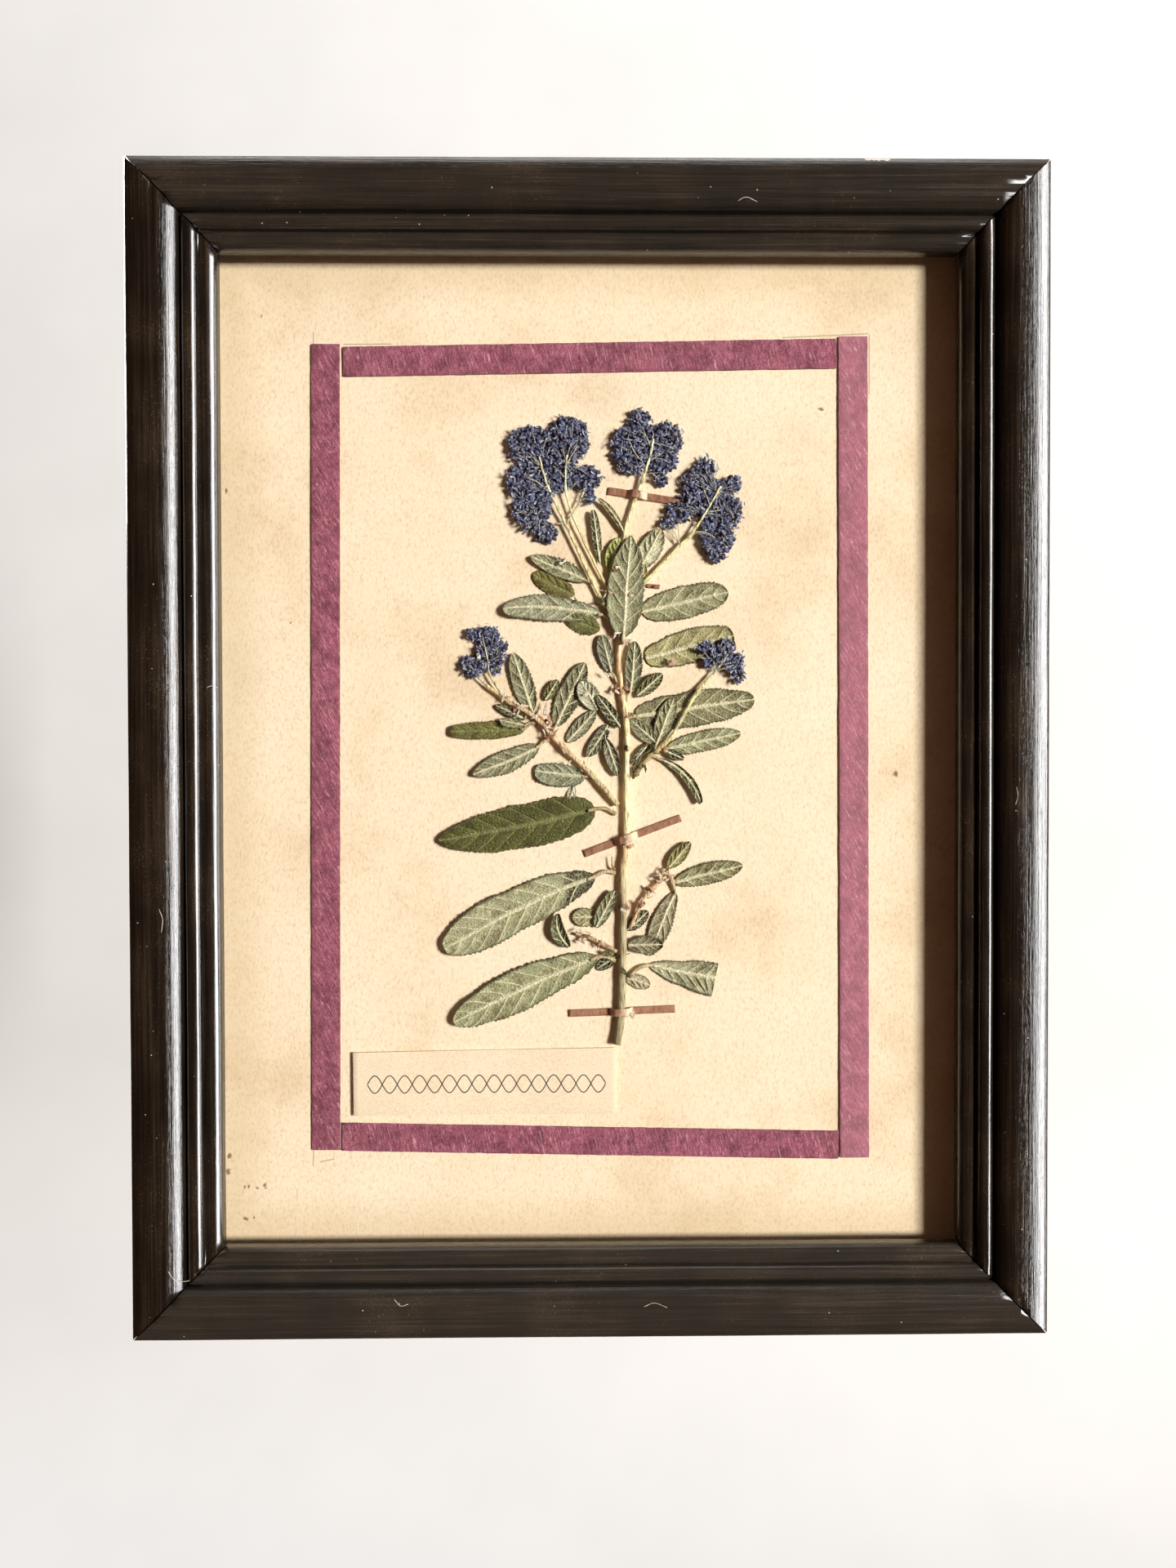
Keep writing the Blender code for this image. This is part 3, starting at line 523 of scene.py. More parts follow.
def gummed_paper():
    """Old gummed kraft paper: flat red-brown, with cross cracks 0.6 mm apart, a faint shine of gum and a painted
    highlight.
    """
    made, tree, shader = start_material("brown_gummed_paper", 0.6, 0.4)
    cracks = clouds(tree, 1.0, 4.0, 0.7, (1.6, 1.0, 0.5))
    mottle = plus(tree, times(tree, cracks, 0.65), times(tree, clouds(tree, 0.3, 3.0), 0.35))
    colour = ramp(tree, mottle, (0.33, "#6f4635"), (0.5, "#9c705a"), (0.66, "#bd9078"))
    # Painted highlight: pale on each strap's crest and on the slope past its stalk, broken up by the cracks
    fading_and_highlight = plus(tree, attribute(tree, "fading_and_highlight"), times(tree, maths(tree, "SUBTRACT", cracks, 0.5), 1.4))
    colour = blend(tree, fade(tree, fading_and_highlight, 0.3, 0.6, 0.0, 0.9), colour, "#ecd9c0")
    feed(tree, shader, {"Base Color": colour, "Normal": relief(tree, cracks, 0.5, 0.1)})
    return made


strap_paper = gummed_paper()
for name, start, end, crossing, rise, clear_half in STRAPS:
    line = Vector(end) - Vector(start)
    square = Vector((-line.y, line.x)).normalized() * STRAP_HALF_WIDTH * (SMALL_STRAP_SHARE if name == "small" else 1.0)

    def strap_place(s, t):
        away = abs(s * line.length - crossing) - clear_half
        climb = min(1.0, max(0.0, 1.0 - away / STRAP_SLOPE)) if rise else 0.0
        climb = climb * climb * (3 - 2 * climb)
        spot = Vector(start) + line * s + square * t * (1 + 0.05 * noise.noise(Vector((s * 9, t, crossing))))
        wrinkle = 0.05 * noise.noise(Vector((spot.x, spot.y, 2.0)) * 0.7)
        return on_card(spot.x, spot.y, RESTING_HEIGHT + rise * climb + wrinkle)

    # Painted highlight along a strap: faint on its crest, strongest on the slope past the stalk
    def lit_slope_highlight(s):
        past = s * line.length - crossing
        return (math.exp(-((past - 1.9) / 1.1) ** 2) + 0.4 * math.exp(-(past / 0.9) ** 2)) * min(1.0, rise / 2)

    strap = finish_piece(f"gummed_strap_{name}", sheet_bmesh(90, 4, strap_place, lit_slope_highlight), strap_paper,
                         "brown_gummed_paper", f"strap_{name}")
    thicken(strap, PAPER_THICKNESS, flat=True)


# Label card
# A slip of smooth cream card that stands a little off the sheet where it has bowed. A plain pen ornament
# of two crossing waves in brown-black ink stands where its writing was.
LABEL_THICKNESS = 0.4
WAVE_LENGTH = 7.2
WAVE_HEIGHT = 2.1
WAVE_CENTRE_X = -3.5 * WAVE_LENGTH
WAVE_CENTRE_Z = -80.2
LABEL_CORNERS = [Vector((-57.3, -87.8)), Vector((6.2, -87.6)), Vector((-57.4, -72.5)), Vector((6.4, -71.6))]


def label_place(s, t):
    low = LABEL_CORNERS[0].lerp(LABEL_CORNERS[1], s)
    high = LABEL_CORNERS[2].lerp(LABEL_CORNERS[3], s)
    spot = low.lerp(high, (t + 1) / 2)
    return on_card(spot.x, spot.y, RESTING_HEIGHT + 0.2 + 0.3 * math.cos(math.pi * s) ** 2)


def label_stock():
    """Smooth ivory card with a faint laid grain of 0.5 mm; the ink is a line 0.25 mm wide."""
    made, tree, shader = start_material("ivory_label_card", 0.8, 0.3)
    parts = add_node(tree, "SeparateXYZ", {"Vector": millimetres(tree)}).outputs
    pulp = clouds(tree, 2.2, 4.0)
    base = ramp(tree, clouds(tree, 0.07), (0.35, "#f3dfcd"), (0.65, "#f7e5d4"))
    colour = blend(tree, 0.5, base, ramp(tree, pulp, (0.35, "#e9dcc4"), (0.55, "#ffffff")), "MULTIPLY")
    turns = times(tree, parts["X"], 2 * math.pi / WAVE_LENGTH)
    wave = times(tree, maths(tree, "SINE", turns), WAVE_HEIGHT)
    slope = times(tree, maths(tree, "COSINE", turns), WAVE_HEIGHT * 2 * math.pi / WAVE_LENGTH)
    steep = maths(tree, "SQRT", plus(tree, 1.0, times(tree, slope, slope)))
    level = maths(tree, "SUBTRACT", parts["Z"], WAVE_CENTRE_Z)
    nearest = maths(tree, "MINIMUM", size_of(tree, maths(tree, "SUBTRACT", level, wave)),
                    size_of(tree, plus(tree, level, wave)))
    stroke = fade(tree, maths(tree, "DIVIDE", nearest, steep), 0.1, 0.17, 0.95, 0.0)
    aside = size_of(tree, maths(tree, "SUBTRACT", parts["X"], WAVE_CENTRE_X))
    within = maths(tree, "LESS_THAN", aside, 4 * WAVE_LENGTH)
    colour = blend(tree, times(tree, stroke, within), colour, "#2c231c")
    feed(tree, shader, {"Base Color": colour, "Normal": relief(tree, pulp, 0.2, 0.05)})
    return made


label = finish_piece("label_slip", sheet_bmesh(48, 8, label_place, lambda s: 0.0), label_stock(), "label_card_stock",
                     "label_card")
thicken(label, LABEL_THICKNESS, flat=True)


# Stem, branches, twigs and flower stalks
# The dried wood of one season: grooved and brittle, straw-green above and brown below, with swollen
# joints where leaves were set, and a skin that has shrunk in long furrows, painted dark in them as shade.
STEM_ROUTES = {
    "main_stem": ([(6.2, -70.6, 1.25), (7.2, -64.8, 1.25), (7.7, -53.1, 1.25), (7.9, -37.3, 1.2),
                   (7.8, -28.8, 1.2), (8.7, -21.5, 1.2), (8.7, -7.1, 1.15), (8.8, 6.0, 1.1), (7.5, 15.5, 1.05),
                   (6.9, 22.9, 1.0), (7.4, 27.0, 1.0), (8.5, 35.0, 0.95), (8.7, 42.4, 0.95)], 0.95, 0.55),
    "left_branch": ([(6.6, -12.8, 1.35), (0.3, -5.5, 1.45), (-5.8, 0.4, 1.5), (-8.8, 3.5, 1.5), (-13.3, 8.4, 1.5),
                     (-19.3, 12.0, 1.4), (-24.9, 16.0, 1.4)], 0.64, 0.4),
    "right_branch": ([(10.2, -6.2, 1.4), (14.3, -1.1, 1.5), (19.4, 3.5, 1.6), (23.3, 10.3, 1.6), (25.9, 14.5, 1.6),
                      (29.4, 18.4, 1.6)], 0.5, 0.38),
    "lower_left_twig": ([(6.3, -48.2, 1.2), (0.6, -45.2, 1.2), (-3.6, -43.8, 1.2)], 0.45, 0.3),
    "lower_right_twig": ([(9.5, -42.6, 1.2), (12.8, -35.7, 1.3), (16.0, -32.0, 1.3), (18.9, -29.6, 1.3)], 0.45, 0.35),
    "flower_stalk_left_outer": ([(7.2, 33.7, 1.1), (5.0, 34.4, 1.1), (2.6, 37.0, 1.2), (-5.7, 54.5, 1.4),
                                 (-8.8, 60.8, 1.6), (-10.7, 65.5, 2.3), (-12.0, 70.5, 2.4)], 0.45, 0.22),
    "flower_stalk_left_inner": ([(7.4, 37.9, 1.1), (5.0, 38.6, 1.1), (2.1, 43.6, 1.2), (-2.7, 53.5, 1.4),
                                 (-5.3, 60.6, 1.6), (-5.8, 66.0, 2.3), (-5.4, 71.0, 2.4)], 0.4, 0.2),
    "flower_stalk_middle": ([(8.8, 43.3, 0.95), (8.4, 51.9, 1.0), (9.4, 56.4, 1.0), (12.4, 64.6, 1.3),
                             (14.4, 70.5, 2.3), (15.3, 74.8, 2.4)], 0.5, 0.28),
    "flower_stalk_right": ([(9.6, 37.6, 0.95), (13.3, 41.0, 1.1), (20.4, 48.4, 1.4), (24.2, 52.0, 1.5),
                            (27.6, 57.0, 2.3), (31.4, 63.5, 2.4)], 0.45, 0.22),
}
SIDE_STALKS = [
    ([(-5.8, 54.7, 1.4), (-3.8, 57.6, 1.5), (-2.0, 60.8, 1.7), (-0.8, 65.0, 2.2)], 0.3, 0.16),
    ([(-5.9, 54.9, 1.4), (-8.9, 54.7, 1.5), (-11.8, 53.8, 1.8)], 0.26, 0.13),
    ([(-2.2, 60.3, 1.6), (0.4, 61.0, 1.8)], 0.14, 0.1), ([(-2.6, 59.4, 1.6), (-1.2, 62.4, 1.9)], 0.14, 0.1),
    ([(-9.8, 62.4, 1.8), (-12.6, 64.6, 2.3), (-15.0, 65.4, 2.4)], 0.22, 0.12),
    ([(-11.4, 68.0, 2.3), (-14.4, 71.4, 2.4)], 0.18, 0.1), ([(-5.7, 68.4, 2.3), (-3.0, 73.0, 2.4)], 0.18, 0.1),
    ([(-5.8, 65.5, 2.3), (-8.6, 68.4, 2.4)], 0.16, 0.1),
    ([(13.6, 68.0, 1.9), (10.8, 71.6, 2.3), (9.4, 74.6, 2.4)], 0.2, 0.11),
    ([(14.0, 69.4, 2.1), (17.4, 71.4, 2.4)], 0.18, 0.1), ([(14.8, 72.6, 2.3), (12.6, 77.6, 2.4)], 0.18, 0.1),
    ([(21.6, 50.0, 1.45), (18.5, 53.6, 1.4)], 0.12, 0.09), ([(21.6, 50.0, 1.45), (19.6, 54.4, 1.5)], 0.12, 0.09),
    ([(21.6, 50.0, 1.45), (21.2, 54.8, 1.6)], 0.12, 0.09),
    ([(24.8, 52.8, 1.6), (28.2, 52.4, 2.1), (30.8, 50.6, 2.3)], 0.22, 0.12),
    ([(27.8, 57.4, 2.2), (31.4, 57.8, 2.4)], 0.18, 0.1), ([(28.8, 59.0, 2.3), (27.0, 63.6, 2.4)], 0.18, 0.1),
    ([(-19.3, 12.0, 1.4), (-22.0, 15.2, 1.5), (-24.0, 18.6, 1.7), (-24.6, 22.6, 2.3), (-25.4, 26.0, 2.4)], 0.36, 0.16),
    ([(-24.7, 15.9, 1.4), (-27.0, 18.2, 1.6), (-28.6, 20.8, 2.2)], 0.28, 0.14),
    ([(29.2, 18.2, 1.6), (31.2, 20.6, 1.9), (33.2, 23.4, 2.4)], 0.3, 0.14),
    ([(30.2, 19.4, 1.7), (34.6, 20.8, 2.3)], 0.16, 0.1), ([(29.9, 19.2, 1.7), (29.6, 23.2, 2.3)], 0.16, 0.1),
    ([(5.9, -28.4, 1.2), (5.3, -27.6, 1.3), (5.2, -25.3, 1.5)], 0.4, 0.12),
    ([(14.2, -34.6, 1.3), (12.9, -33.2, 1.5)], 0.2, 0.06), ([(16.2, -31.8, 1.3), (14.9, -30.2, 1.6)], 0.22, 0.06),
    ([(17.4, -30.8, 1.3), (17.0, -28.4, 1.6)], 0.2, 0.06), ([(13.0, -35.4, 1.3), (14.8, -35.0, 1.5)], 0.18, 0.06),
]
STEM_JOINTS = {
    "main_stem": [(-63.0, 0.25), (-53.6, 0.2), (-37.3, 0.45), (-22.0, 0.5), (-6.5, 0.2), (1.3, 0.2), (9.0, 0.35),
                  (14.5, 0.25), (27.5, 0.35)],
    "left_branch": [(-9.4, 0.25), (-5.2, 0.2), (0.6, 0.35), (3.8, 0.4), (6.6, 0.35), (9.6, 0.3), (12.2, 0.45)],
    "right_branch": [(-4.6, 0.3), (-1.2, 0.5), (1.6, 0.5), (8.6, 0.25), (14.2, 0.25)],
    "lower_right_twig": [(-36.8, 0.4), (-33.4, 0.5), (-31.0, 0.5)],
    "lower_left_twig": [(-46.4, 0.5), (-44.6, 0.5)],
    "flower_stalk_left_outer": [(37.0, 0.3), (43.6, 0.3), (54.5, 0.4), (60.8, 0.3)],
    "flower_stalk_right": [(41.0, 0.3), (48.4, 0.3), (52.0, 0.5)], "flower_stalk_middle": [(51.9, 0.3), (64.6, 0.4)],
}
MAIN_STEM_COLOURS = [(-71, "#6f6650"), (-66, "#9f967e"), (-54, "#aaa188"), (-38, "#a79a82"), (-30, "#b5aa8c"),
                     (-22, "#e2bd9c"), (-18, "#f0ebc3"), (-6, "#f8f4d0"), (4, "#f6eec8"), (8, "#eedcb8"),
                     (16, "#eccfb0"), (26, "#eed5b6"), (34, "#eee7c4"), (46, "#eeeac4")]
STEM_COLOURS = {"left_branch": [(-13, "#c4b596"), (-6, "#d0bf9d"), (0, "#cbb094"), (8, "#d8bea2"), (17, "#e4d3b0")],
                "right_branch": [(-7, "#8f7a5c"), (-1, "#b6a882"), (3, "#cfc69c"), (20, "#d6d3a6")],
                "lower_left_twig": [(-49, "#a38c72"), (-43, "#dcc0ac")],
                "lower_right_twig": [(-43, "#c4aa8e"), (-29, "#e2c6ac")]}
STALK_COLOURS = [(30, "#c9b890"), (40, "#d5cda4"), (50, "#d8d2aa"), (62, "#dfdcbf"), (76, "#e3e2cf")]


def colour_at(stops, height):
    """The colour between two stops of (height, hex)."""
    for (low, first), (high, second) in zip(stops, stops[1:]):
        if height <= high:
            share = max(0.0, (height - low) / (high - low))
            return Vector(linear(first)).lerp(Vector(linear(second)), share)
    return Vector(linear(stops[-1][1]))


def dried_wood():
    """Shrunken young bark: furrows 0.3 mm apart along the stem, painted dark as shade, and small brown flecks."""
    made, tree, shader = start_material("dried_stem_bark", 0.7, 0.35)
    furrow = clouds(tree, 1.0, 4.0, 0.6, (3.2, 3.2, 0.28))
    # Painted shade: the furrows, which the bump sinks, are painted dark brown
    lines = ramp(tree, furrow, (0.39, "#56462f"), (0.48, "#e2d8c4"), (0.6, "#ffffff"))
    colour = blend(tree, 0.8, attribute(tree, "tone", "Color"), lines, "MULTIPLY")
    colour = blend(tree, fade(tree, clouds(tree, 1.1, 3.0, 0.7), 0.6, 0.72, 0.0, 0.55), colour, "#8a6645")
    feed(tree, shader, {"Base Color": colour, "Normal": relief(tree, furrow, 0.6, 0.15)})
    return made


stem_bark = dried_wood()
for name, (route, thick, thin) in STEM_ROUTES.items():
    main = name == "main_stem"
    points = smooth_route([on_card(*place) for place in route], 12 if main else 10)
    joints = STEM_JOINTS.get(name, [])
    radii = []
    for index, point in enumerate(points):
        share = index / (len(points) - 1)
        bulge = sum(size * math.exp(-((point.z / MM - height) / 0.9) ** 2) for height, size in joints)
        radii.append((thick + (thin - thick) * share) * (1 + bulge))
    colours = MAIN_STEM_COLOURS if main else STEM_COLOURS.get(name, STALK_COLOURS)
    bm = stalks_bmesh([(points, radii)], roundness=5 if main else 3)
    tones = bm.verts.layers.float_color.new("tone")
    for vert in bm.verts:
        place = vert.co / MM
        groove = noise.noise(Vector((place.x * 2.6, place.y * 2.6, place.z * 0.12)))
        lump = noise.noise(Vector((place.x * 0.9, place.y * 0.9, place.z * 0.8)))
        vert.co += vert.normal * MM * (0.17 if main else 0.13) * (groove + 0.8 * lump)
        tone = colour_at(colours, place.z) * (1.4 + 0.35 * lump)
        for height, size in joints:
            dark = (0.7 if main else 0.3) * math.exp(-((place.z - height) / 0.7) ** 2)
            tone = tone.lerp(Vector(linear("#6b4630")), dark)
        vert[tones] = tone
    finish_piece(f"dried_{name}", bm, stem_bark, "dried_stem", name)


side_stalks = []
for route, thick, thin in SIDE_STALKS:
    way = smooth_route([on_card(*place) for place in route], 4)
    side_stalks.append((way, [thick + (thin - thick) * i / (len(way) - 1) for i in range(len(way))]))
bm = stalks_bmesh(side_stalks)
tones = bm.verts.layers.float_color.new("tone")
for vert in bm.verts:
    vert[tones] = Vector(linear("#d9d3bd" if vert.co.z > 12 * MM else "#c7a286")) * (
        1 + 0.4 * noise.noise(vert.co / (1.5 * MM)))
finish_piece("side_stalks", bm, stem_bark, "dried_stem")


# Leaves
# Leathery toothed leaves of the sprig, pressed flat and dried. Most lie with their felted, pale-veined
# underside up and their rims rolled over; a few show the darker upper side with sunken veins.
RIB_HALF_WIDTH = 0.34
VEIN_LEAN = 1.25
ROW_SHARES = (0.0, 0.0, 0.0, 0.18, 0.42, 0.66, 0.86, 0.95, 1.0)
VEIN_SHARES = (0.0, 0.07, 0.15, 0.29, 0.43, 0.57, 0.71, 0.85, 0.93)
TEETH = (0.34, 0.1, -0.06, 0.28, 0.0, 0.3, -0.04, 0.24, 0.02)
LEAF_THICKNESS = 0.16
LEAF_HEIGHTS = (0.12, 2.78)


def leaf_material(name, vein, rim, roughness, raised):
    """Dried leaf skin. Ground colour comes from the leaf, veins and rim from how the blade is laid out,
    over felt of 0.4 mm and a net of fine veins 0.8 mm across."""
    made, tree, shader = start_material(name, roughness, 0.3)
    felt = clouds(tree, 2.2, 4.0, 0.7)
    uneven = maths(tree, "SUBTRACT", felt, 0.5)
    bent = strayed(tree, millimetres(tree), felt, 0.5)
    net = add_node(tree, "TexVoronoi", {"Vector": bent, "Scale": 1.2}, feature="DISTANCE_TO_EDGE").outputs["Distance"]
    net = fade(tree, net, 0.02, 0.16, 1.0, 0.0)
    colour = blend(tree, 0.85, attribute(tree, "tone", "Color"),
                   ramp(tree, felt, (0.34, "#8c8468"), (0.5, "#ece7d6"), (0.64, "#ffffff")), "MULTIPLY")
    blotch = ramp(tree, clouds(tree, 0.35, 3.0), (0.36, "#a8926c"), (0.52, "#ffffff"))
    colour = blend(tree, 0.6, colour, blotch, "MULTIPLY")
    colour = blend(tree, times(tree, net, 0.3 if raised else 0.12), colour, vein)
    veined = plus(tree, attribute(tree, "vein"), times(tree, uneven, 0.5))
    colour = blend(tree, fade(tree, veined, 0.18, 0.42, 0.0, 1.0 if raised else 0.8), colour, vein)
    rimmed = plus(tree, attribute(tree, "rim"), times(tree, uneven, 0.9))
    colour = blend(tree, fade(tree, rimmed, 0.3, 0.8, 0.0, 0.62), colour, rim)
    height = plus(tree, times(tree, felt, 0.6), times(tree, net, 0.45 if raised else -0.45))
    feed(tree, shader, {"Base Color": colour, "Normal": relief(tree, height, 1.0, 0.42)})
    return made


felted_underside = leaf_material("felted_leaf_underside", "#f6efd2", "#4e4a26", 0.8, raised=True)
leathery_upper = leaf_material("leathery_leaf_upper_side", "#909060", "#6f6236", 0.55, raised=False)


def leaf(name, foot, base, tip, halves, lift, tone, bow=0.0, fullness=(0.5, 0.5), cut=1.0, upper=False,
         curl=0.0, dark_right_of=0.0, dark=None, node=None):
    """One leaf, laid out as its solid is: from its foot on the stem to its tip, in millimetres.

    halves are the half widths left and right of the midrib, lift the height at foot and tip, bow the bend
    of the midrib to the left, fullness how slowly it widens and narrows, cut where a broken blade ends.
    A leaf without a foot has no stalk in sight.
    """
    base, tip = Vector(base), Vector(tip)
    length = (tip - base).length
    ahead = (tip - base) / length
    left = Vector((-ahead.y, ahead.x))
    widest = fullness[0] / (fullness[0] + fullness[1])
    most = widest ** fullness[0] * (1 - widest) ** fullness[1]
    veins = round(3.6 + length / 8)
    stations = sorted({min(cut, (k + share) / veins * cut) for k in range(veins) for share in VEIN_SHARES}
                      | {0.004, 0.02 * cut, cut * (1 - 0.3 / veins), cut * 0.995, cut})
    crests = {k / veins * cut for k in range(1, veins)}
    rows = len(ROW_SHARES) - 1
    seed = sum(map(ord, name)) * 0.37
    sign = -1.0 if upper else 1.0
    bm = bmesh.new()
    bmesh.ops.create_grid(bm, x_segments=len(stations) - 1, y_segments=2 * rows, size=1.0)
    tones = bm.verts.layers.float_color.new("tone")
    vein_layer = bm.verts.layers.float.new("vein")
    rim_layer = bm.verts.layers.float.new("rim")

    def width_at(a, half):
        swell = 1 + 0.13 * noise.noise(Vector((a * length / 4.5, half, seed + 4)))
        return swell * max(0.12, half * max(0.0, a) ** fullness[0] * max(0.0, 1 - a) ** fullness[1] / most)

    for vert in bm.verts:
        column = round((vert.co.x + 1) / 2 * (len(stations) - 1))
        row = round((vert.co.y + 1) * rows) - rows
        station = stations[column]
        level = abs(row)
        side = (row > 0) - (row < 0)
        half = halves[0] if row > 0 else halves[1]
        share = ROW_SHARES[level]
        lean = VEIN_LEAN * (1 + 0.2 * noise.noise(Vector((station * 9, side, seed))))
        shear = lean * min(width_at(station, half), 0.62 * (cut - station) * length, 1.6 * station * length)
        along = min(cut, station + shear * share ** 1.12 / length)
        width = width_at(along, half)
        rib = min(RIB_HALF_WIDTH * (1 - 0.7 * along) * min(1.0, length / 22 + 0.35), width * 0.5)
        across = rib * level / 2 if level <= 2 else rib + (width - rib) * share
        phase = (station / cut * veins) % 1.0
        if level == rows:
            across += TEETH[column % len(TEETH)] * min(1.0, width / 2.2) * (
                1.1 + 0.8 * noise.noise(Vector((column, row, seed))))
        drift = 0.3 * min(1.0, length / 20) * noise.noise(Vector((along * length / 9, 0.3, seed + 7)))
        sideways = 4 * bow * along * (1 - along) + drift * min(1.0, 4 * along) + side * across
        spot = base.lerp(tip, along) + left * sideways
        spread = share if level > 2 else 0.0
        crest = any(abs(station - c) < 1e-6 for c in crests)
        strength = 1.12 + 0.4 * noise.noise(Vector((station * 31, side * 5, seed)))
        size = min(1.0, width / 2.2)
        puff = -0.5 * size * math.sin(math.pi * phase) ** 0.7 * math.sin(math.pi * min(1.0, spread * 1.08)) ** 0.8
        ridge = 0.16 * (1 - 0.6 * spread) if crest and level > 1 else 0.0
        rib_rise = {0: 0.32, 1: 0.25, 2: 0.02}.get(level, 0.0) * (1 - 0.6 * along)
        rolled = {rows: 0.12, rows - 1: 0.2, rows - 2: 0.04}.get(level, 0.0) * size
        swell = sign * (puff + ridge + rib_rise * (0.7 if upper else 1.0)) + (-0.1 if upper else 1.0) * rolled
        wave = 0.45 * noise.noise(Vector((spot.x / 5, spot.y / 5, seed))) * (0.4 + 0.6 * spread)
        height = lift[0] + (lift[1] - lift[0]) * along ** 2 + 0.15 * (1 - share ** 2) * math.sin(math.pi * along)
        height += swell + wave + curl * spread ** 2
        vert.co = on_card(spot.x, spot.y, max(LEAF_HEIGHTS[0], min(LEAF_HEIGHTS[1], height)))
        darkened = dark and spot.x > dark_right_of + 0.04 * (spot.y + 38)
        colour = Vector(linear(dark if darkened else tone))
        patch = noise.noise(Vector((spot.x / 3.5, spot.y / 3.5, seed + 9)))
        # Painted shade: darker midway between the side veins and towards the margin, as in the hollows of the quilted
        # underside
        hollow_shade = 1 - 0.34 * math.sin(math.pi * phase) ** 2 * spread
        vert[tones] = colour * (1 + 0.25 * patch) * hollow_shade
        vert[vein_layer] = 1.0 if level < 2 else (0.45 if level == 2 else (
            max(0.0, strength - 0.55 * spread) if crest and level < rows else 0.0))
        vert[rim_layer] = {rows: 1.0, rows - 1: 0.7}.get(level, 0.0)
    face_front(bm)
    skin, slot = (leathery_upper, "leaf_upper_side") if upper else (felted_underside, "leaf_underside")
    thicken(finish_piece(name, bm, skin, slot, *([node] if node else [])), LEAF_THICKNESS, offset=-1.0)
    if foot:
        foot = Vector(foot)
        middle = foot.lerp(base, 0.5) + Vector((0.0, 0.14)) * (base - foot).length
        way = smooth_route([on_card(*foot, lift[0] + 0.15), on_card(*middle, lift[0] + 0.4),
                            on_card(*base, lift[0] + 0.25), on_card(*base.lerp(tip, 0.05), lift[0] + 0.2)], 4)
        thickness = 0.45 * min(1.0, length / 26 + 0.25)
        stalk = stalks_bmesh([(way, [thickness * (1.2 - 0.35 * i / (len(way) - 1)) for i in range(len(way))])], 2)
        stalk_tones = stalk.verts.layers.float_color.new("tone")
        for vert in stalk.verts:
            near_foot = max(0.0, 1 - (vert.co - way[0]).length / (1.3 * MM))
            vert[stalk_tones] = Vector(linear("#cdbd9a" if upper else "#e4d6ba")).lerp(
                Vector(linear("#8f6d4b")), near_foot)
        finish_piece(f"{name}_stalk", stalk, stem_bark, "dried_stem")


# The four large lower leaves and those of the two lower twigs. The second is darker at its base,
# and the one on the right is snapped off square.
leaf("lower_leaf_first", (6.2, -15.0), (1.2, -13.8), (-36.4, -21.3), (5.5, 5.2), (0.6, 1.9), "#66672b", bow=0.4,
     fullness=(0.42, 0.6), upper=True, node="leaf_large_upper")
leaf("lower_leaf_second", (6.1, -29.2), (1.0, -30.0), (-35.2, -47.4), (5.2, 5.2), (0.6, 1.8), "#cccdb0", bow=-0.9,
     fullness=(0.5, 0.38), dark_right_of=-6.3, dark="#5c5c44", node="leaf_large_middle")
leaf("lower_leaf_third", (6.0, -50.6), (1.6, -49.6), (-33.0, -65.2), (4.8, 4.8), (0.6, 1.9), "#c0c3a1", bow=-0.6,
     fullness=(0.55, 0.5), node="leaf_large_lower")
leaf("lower_leaf_snapped", (9.4, -54.3), (14.3, -51.6), (39.9, -56.9), (4.0, 4.8), (0.6, 1.2), "#ceceb8",
     fullness=(0.56, 0.08), cut=0.62, node="leaf_broken_right")
leaf("twig_leaf_outer", (19.0, -30.6), (20.4, -31.6), (36.6, -27.4), (2.5, 2.4), (0.6, 1.4), "#a09b76",
     node="leaf_twig_outer")
leaf("twig_leaf_inner", (19.2, -30.8), (20.6, -33.8), (13.9, -49.2), (2.5, 2.4), (0.6, 0.7), "#bab09d",
     fullness=(0.6, 0.5), node="leaf_twig_inner")
leaf("twig_leaf_young", (18.2, -29.0), (18.8, -28.0), (24.0, -21.8), (1.7, 1.6), (1.2, 1.7), "#a3a057")
leaf("twig_leaf_dusty", None, (9.1, -46.7), (17.4, -46.5), (2.1, 1.9), (1.2, 1.5), "#a69d87", curl=0.5)
leaf("twig_leaf_narrow", None, (8.9, -43.0), (13.8, -38.5), (1.6, 1.6), (0.7, 1.0), "#625e4a")
leaf("twig_leaf_tucked", None, (8.8, -54.8), (14.3, -56.5), (1.8, 1.7), (0.5, 0.9), "#eedecc")
leaf("twig_leaf_left_flat", None, (1.7, -39.8), (-4.3, -40.0), (2.2, 2.1), (0.5, 1.0), "#d0caa9")
leaf("twig_leaf_left_upright", None, (1.3, -42.3), (5.9, -33.4), (1.8, 1.6), (1.2, 1.7), "#a2a78e")
leaf("twig_leaf_left_hooked", None, (-5.3, -47.0), (-8.0, -39.0), (1.8, 1.7), (1.0, 1.6), "#626944",
     bow=1.3, curl=0.7)
leaf("twig_leaf_left_under", None, (6.2, -49.5), (1.5, -52.5), (1.4, 1.4), (0.4, 0.6), "#212314")


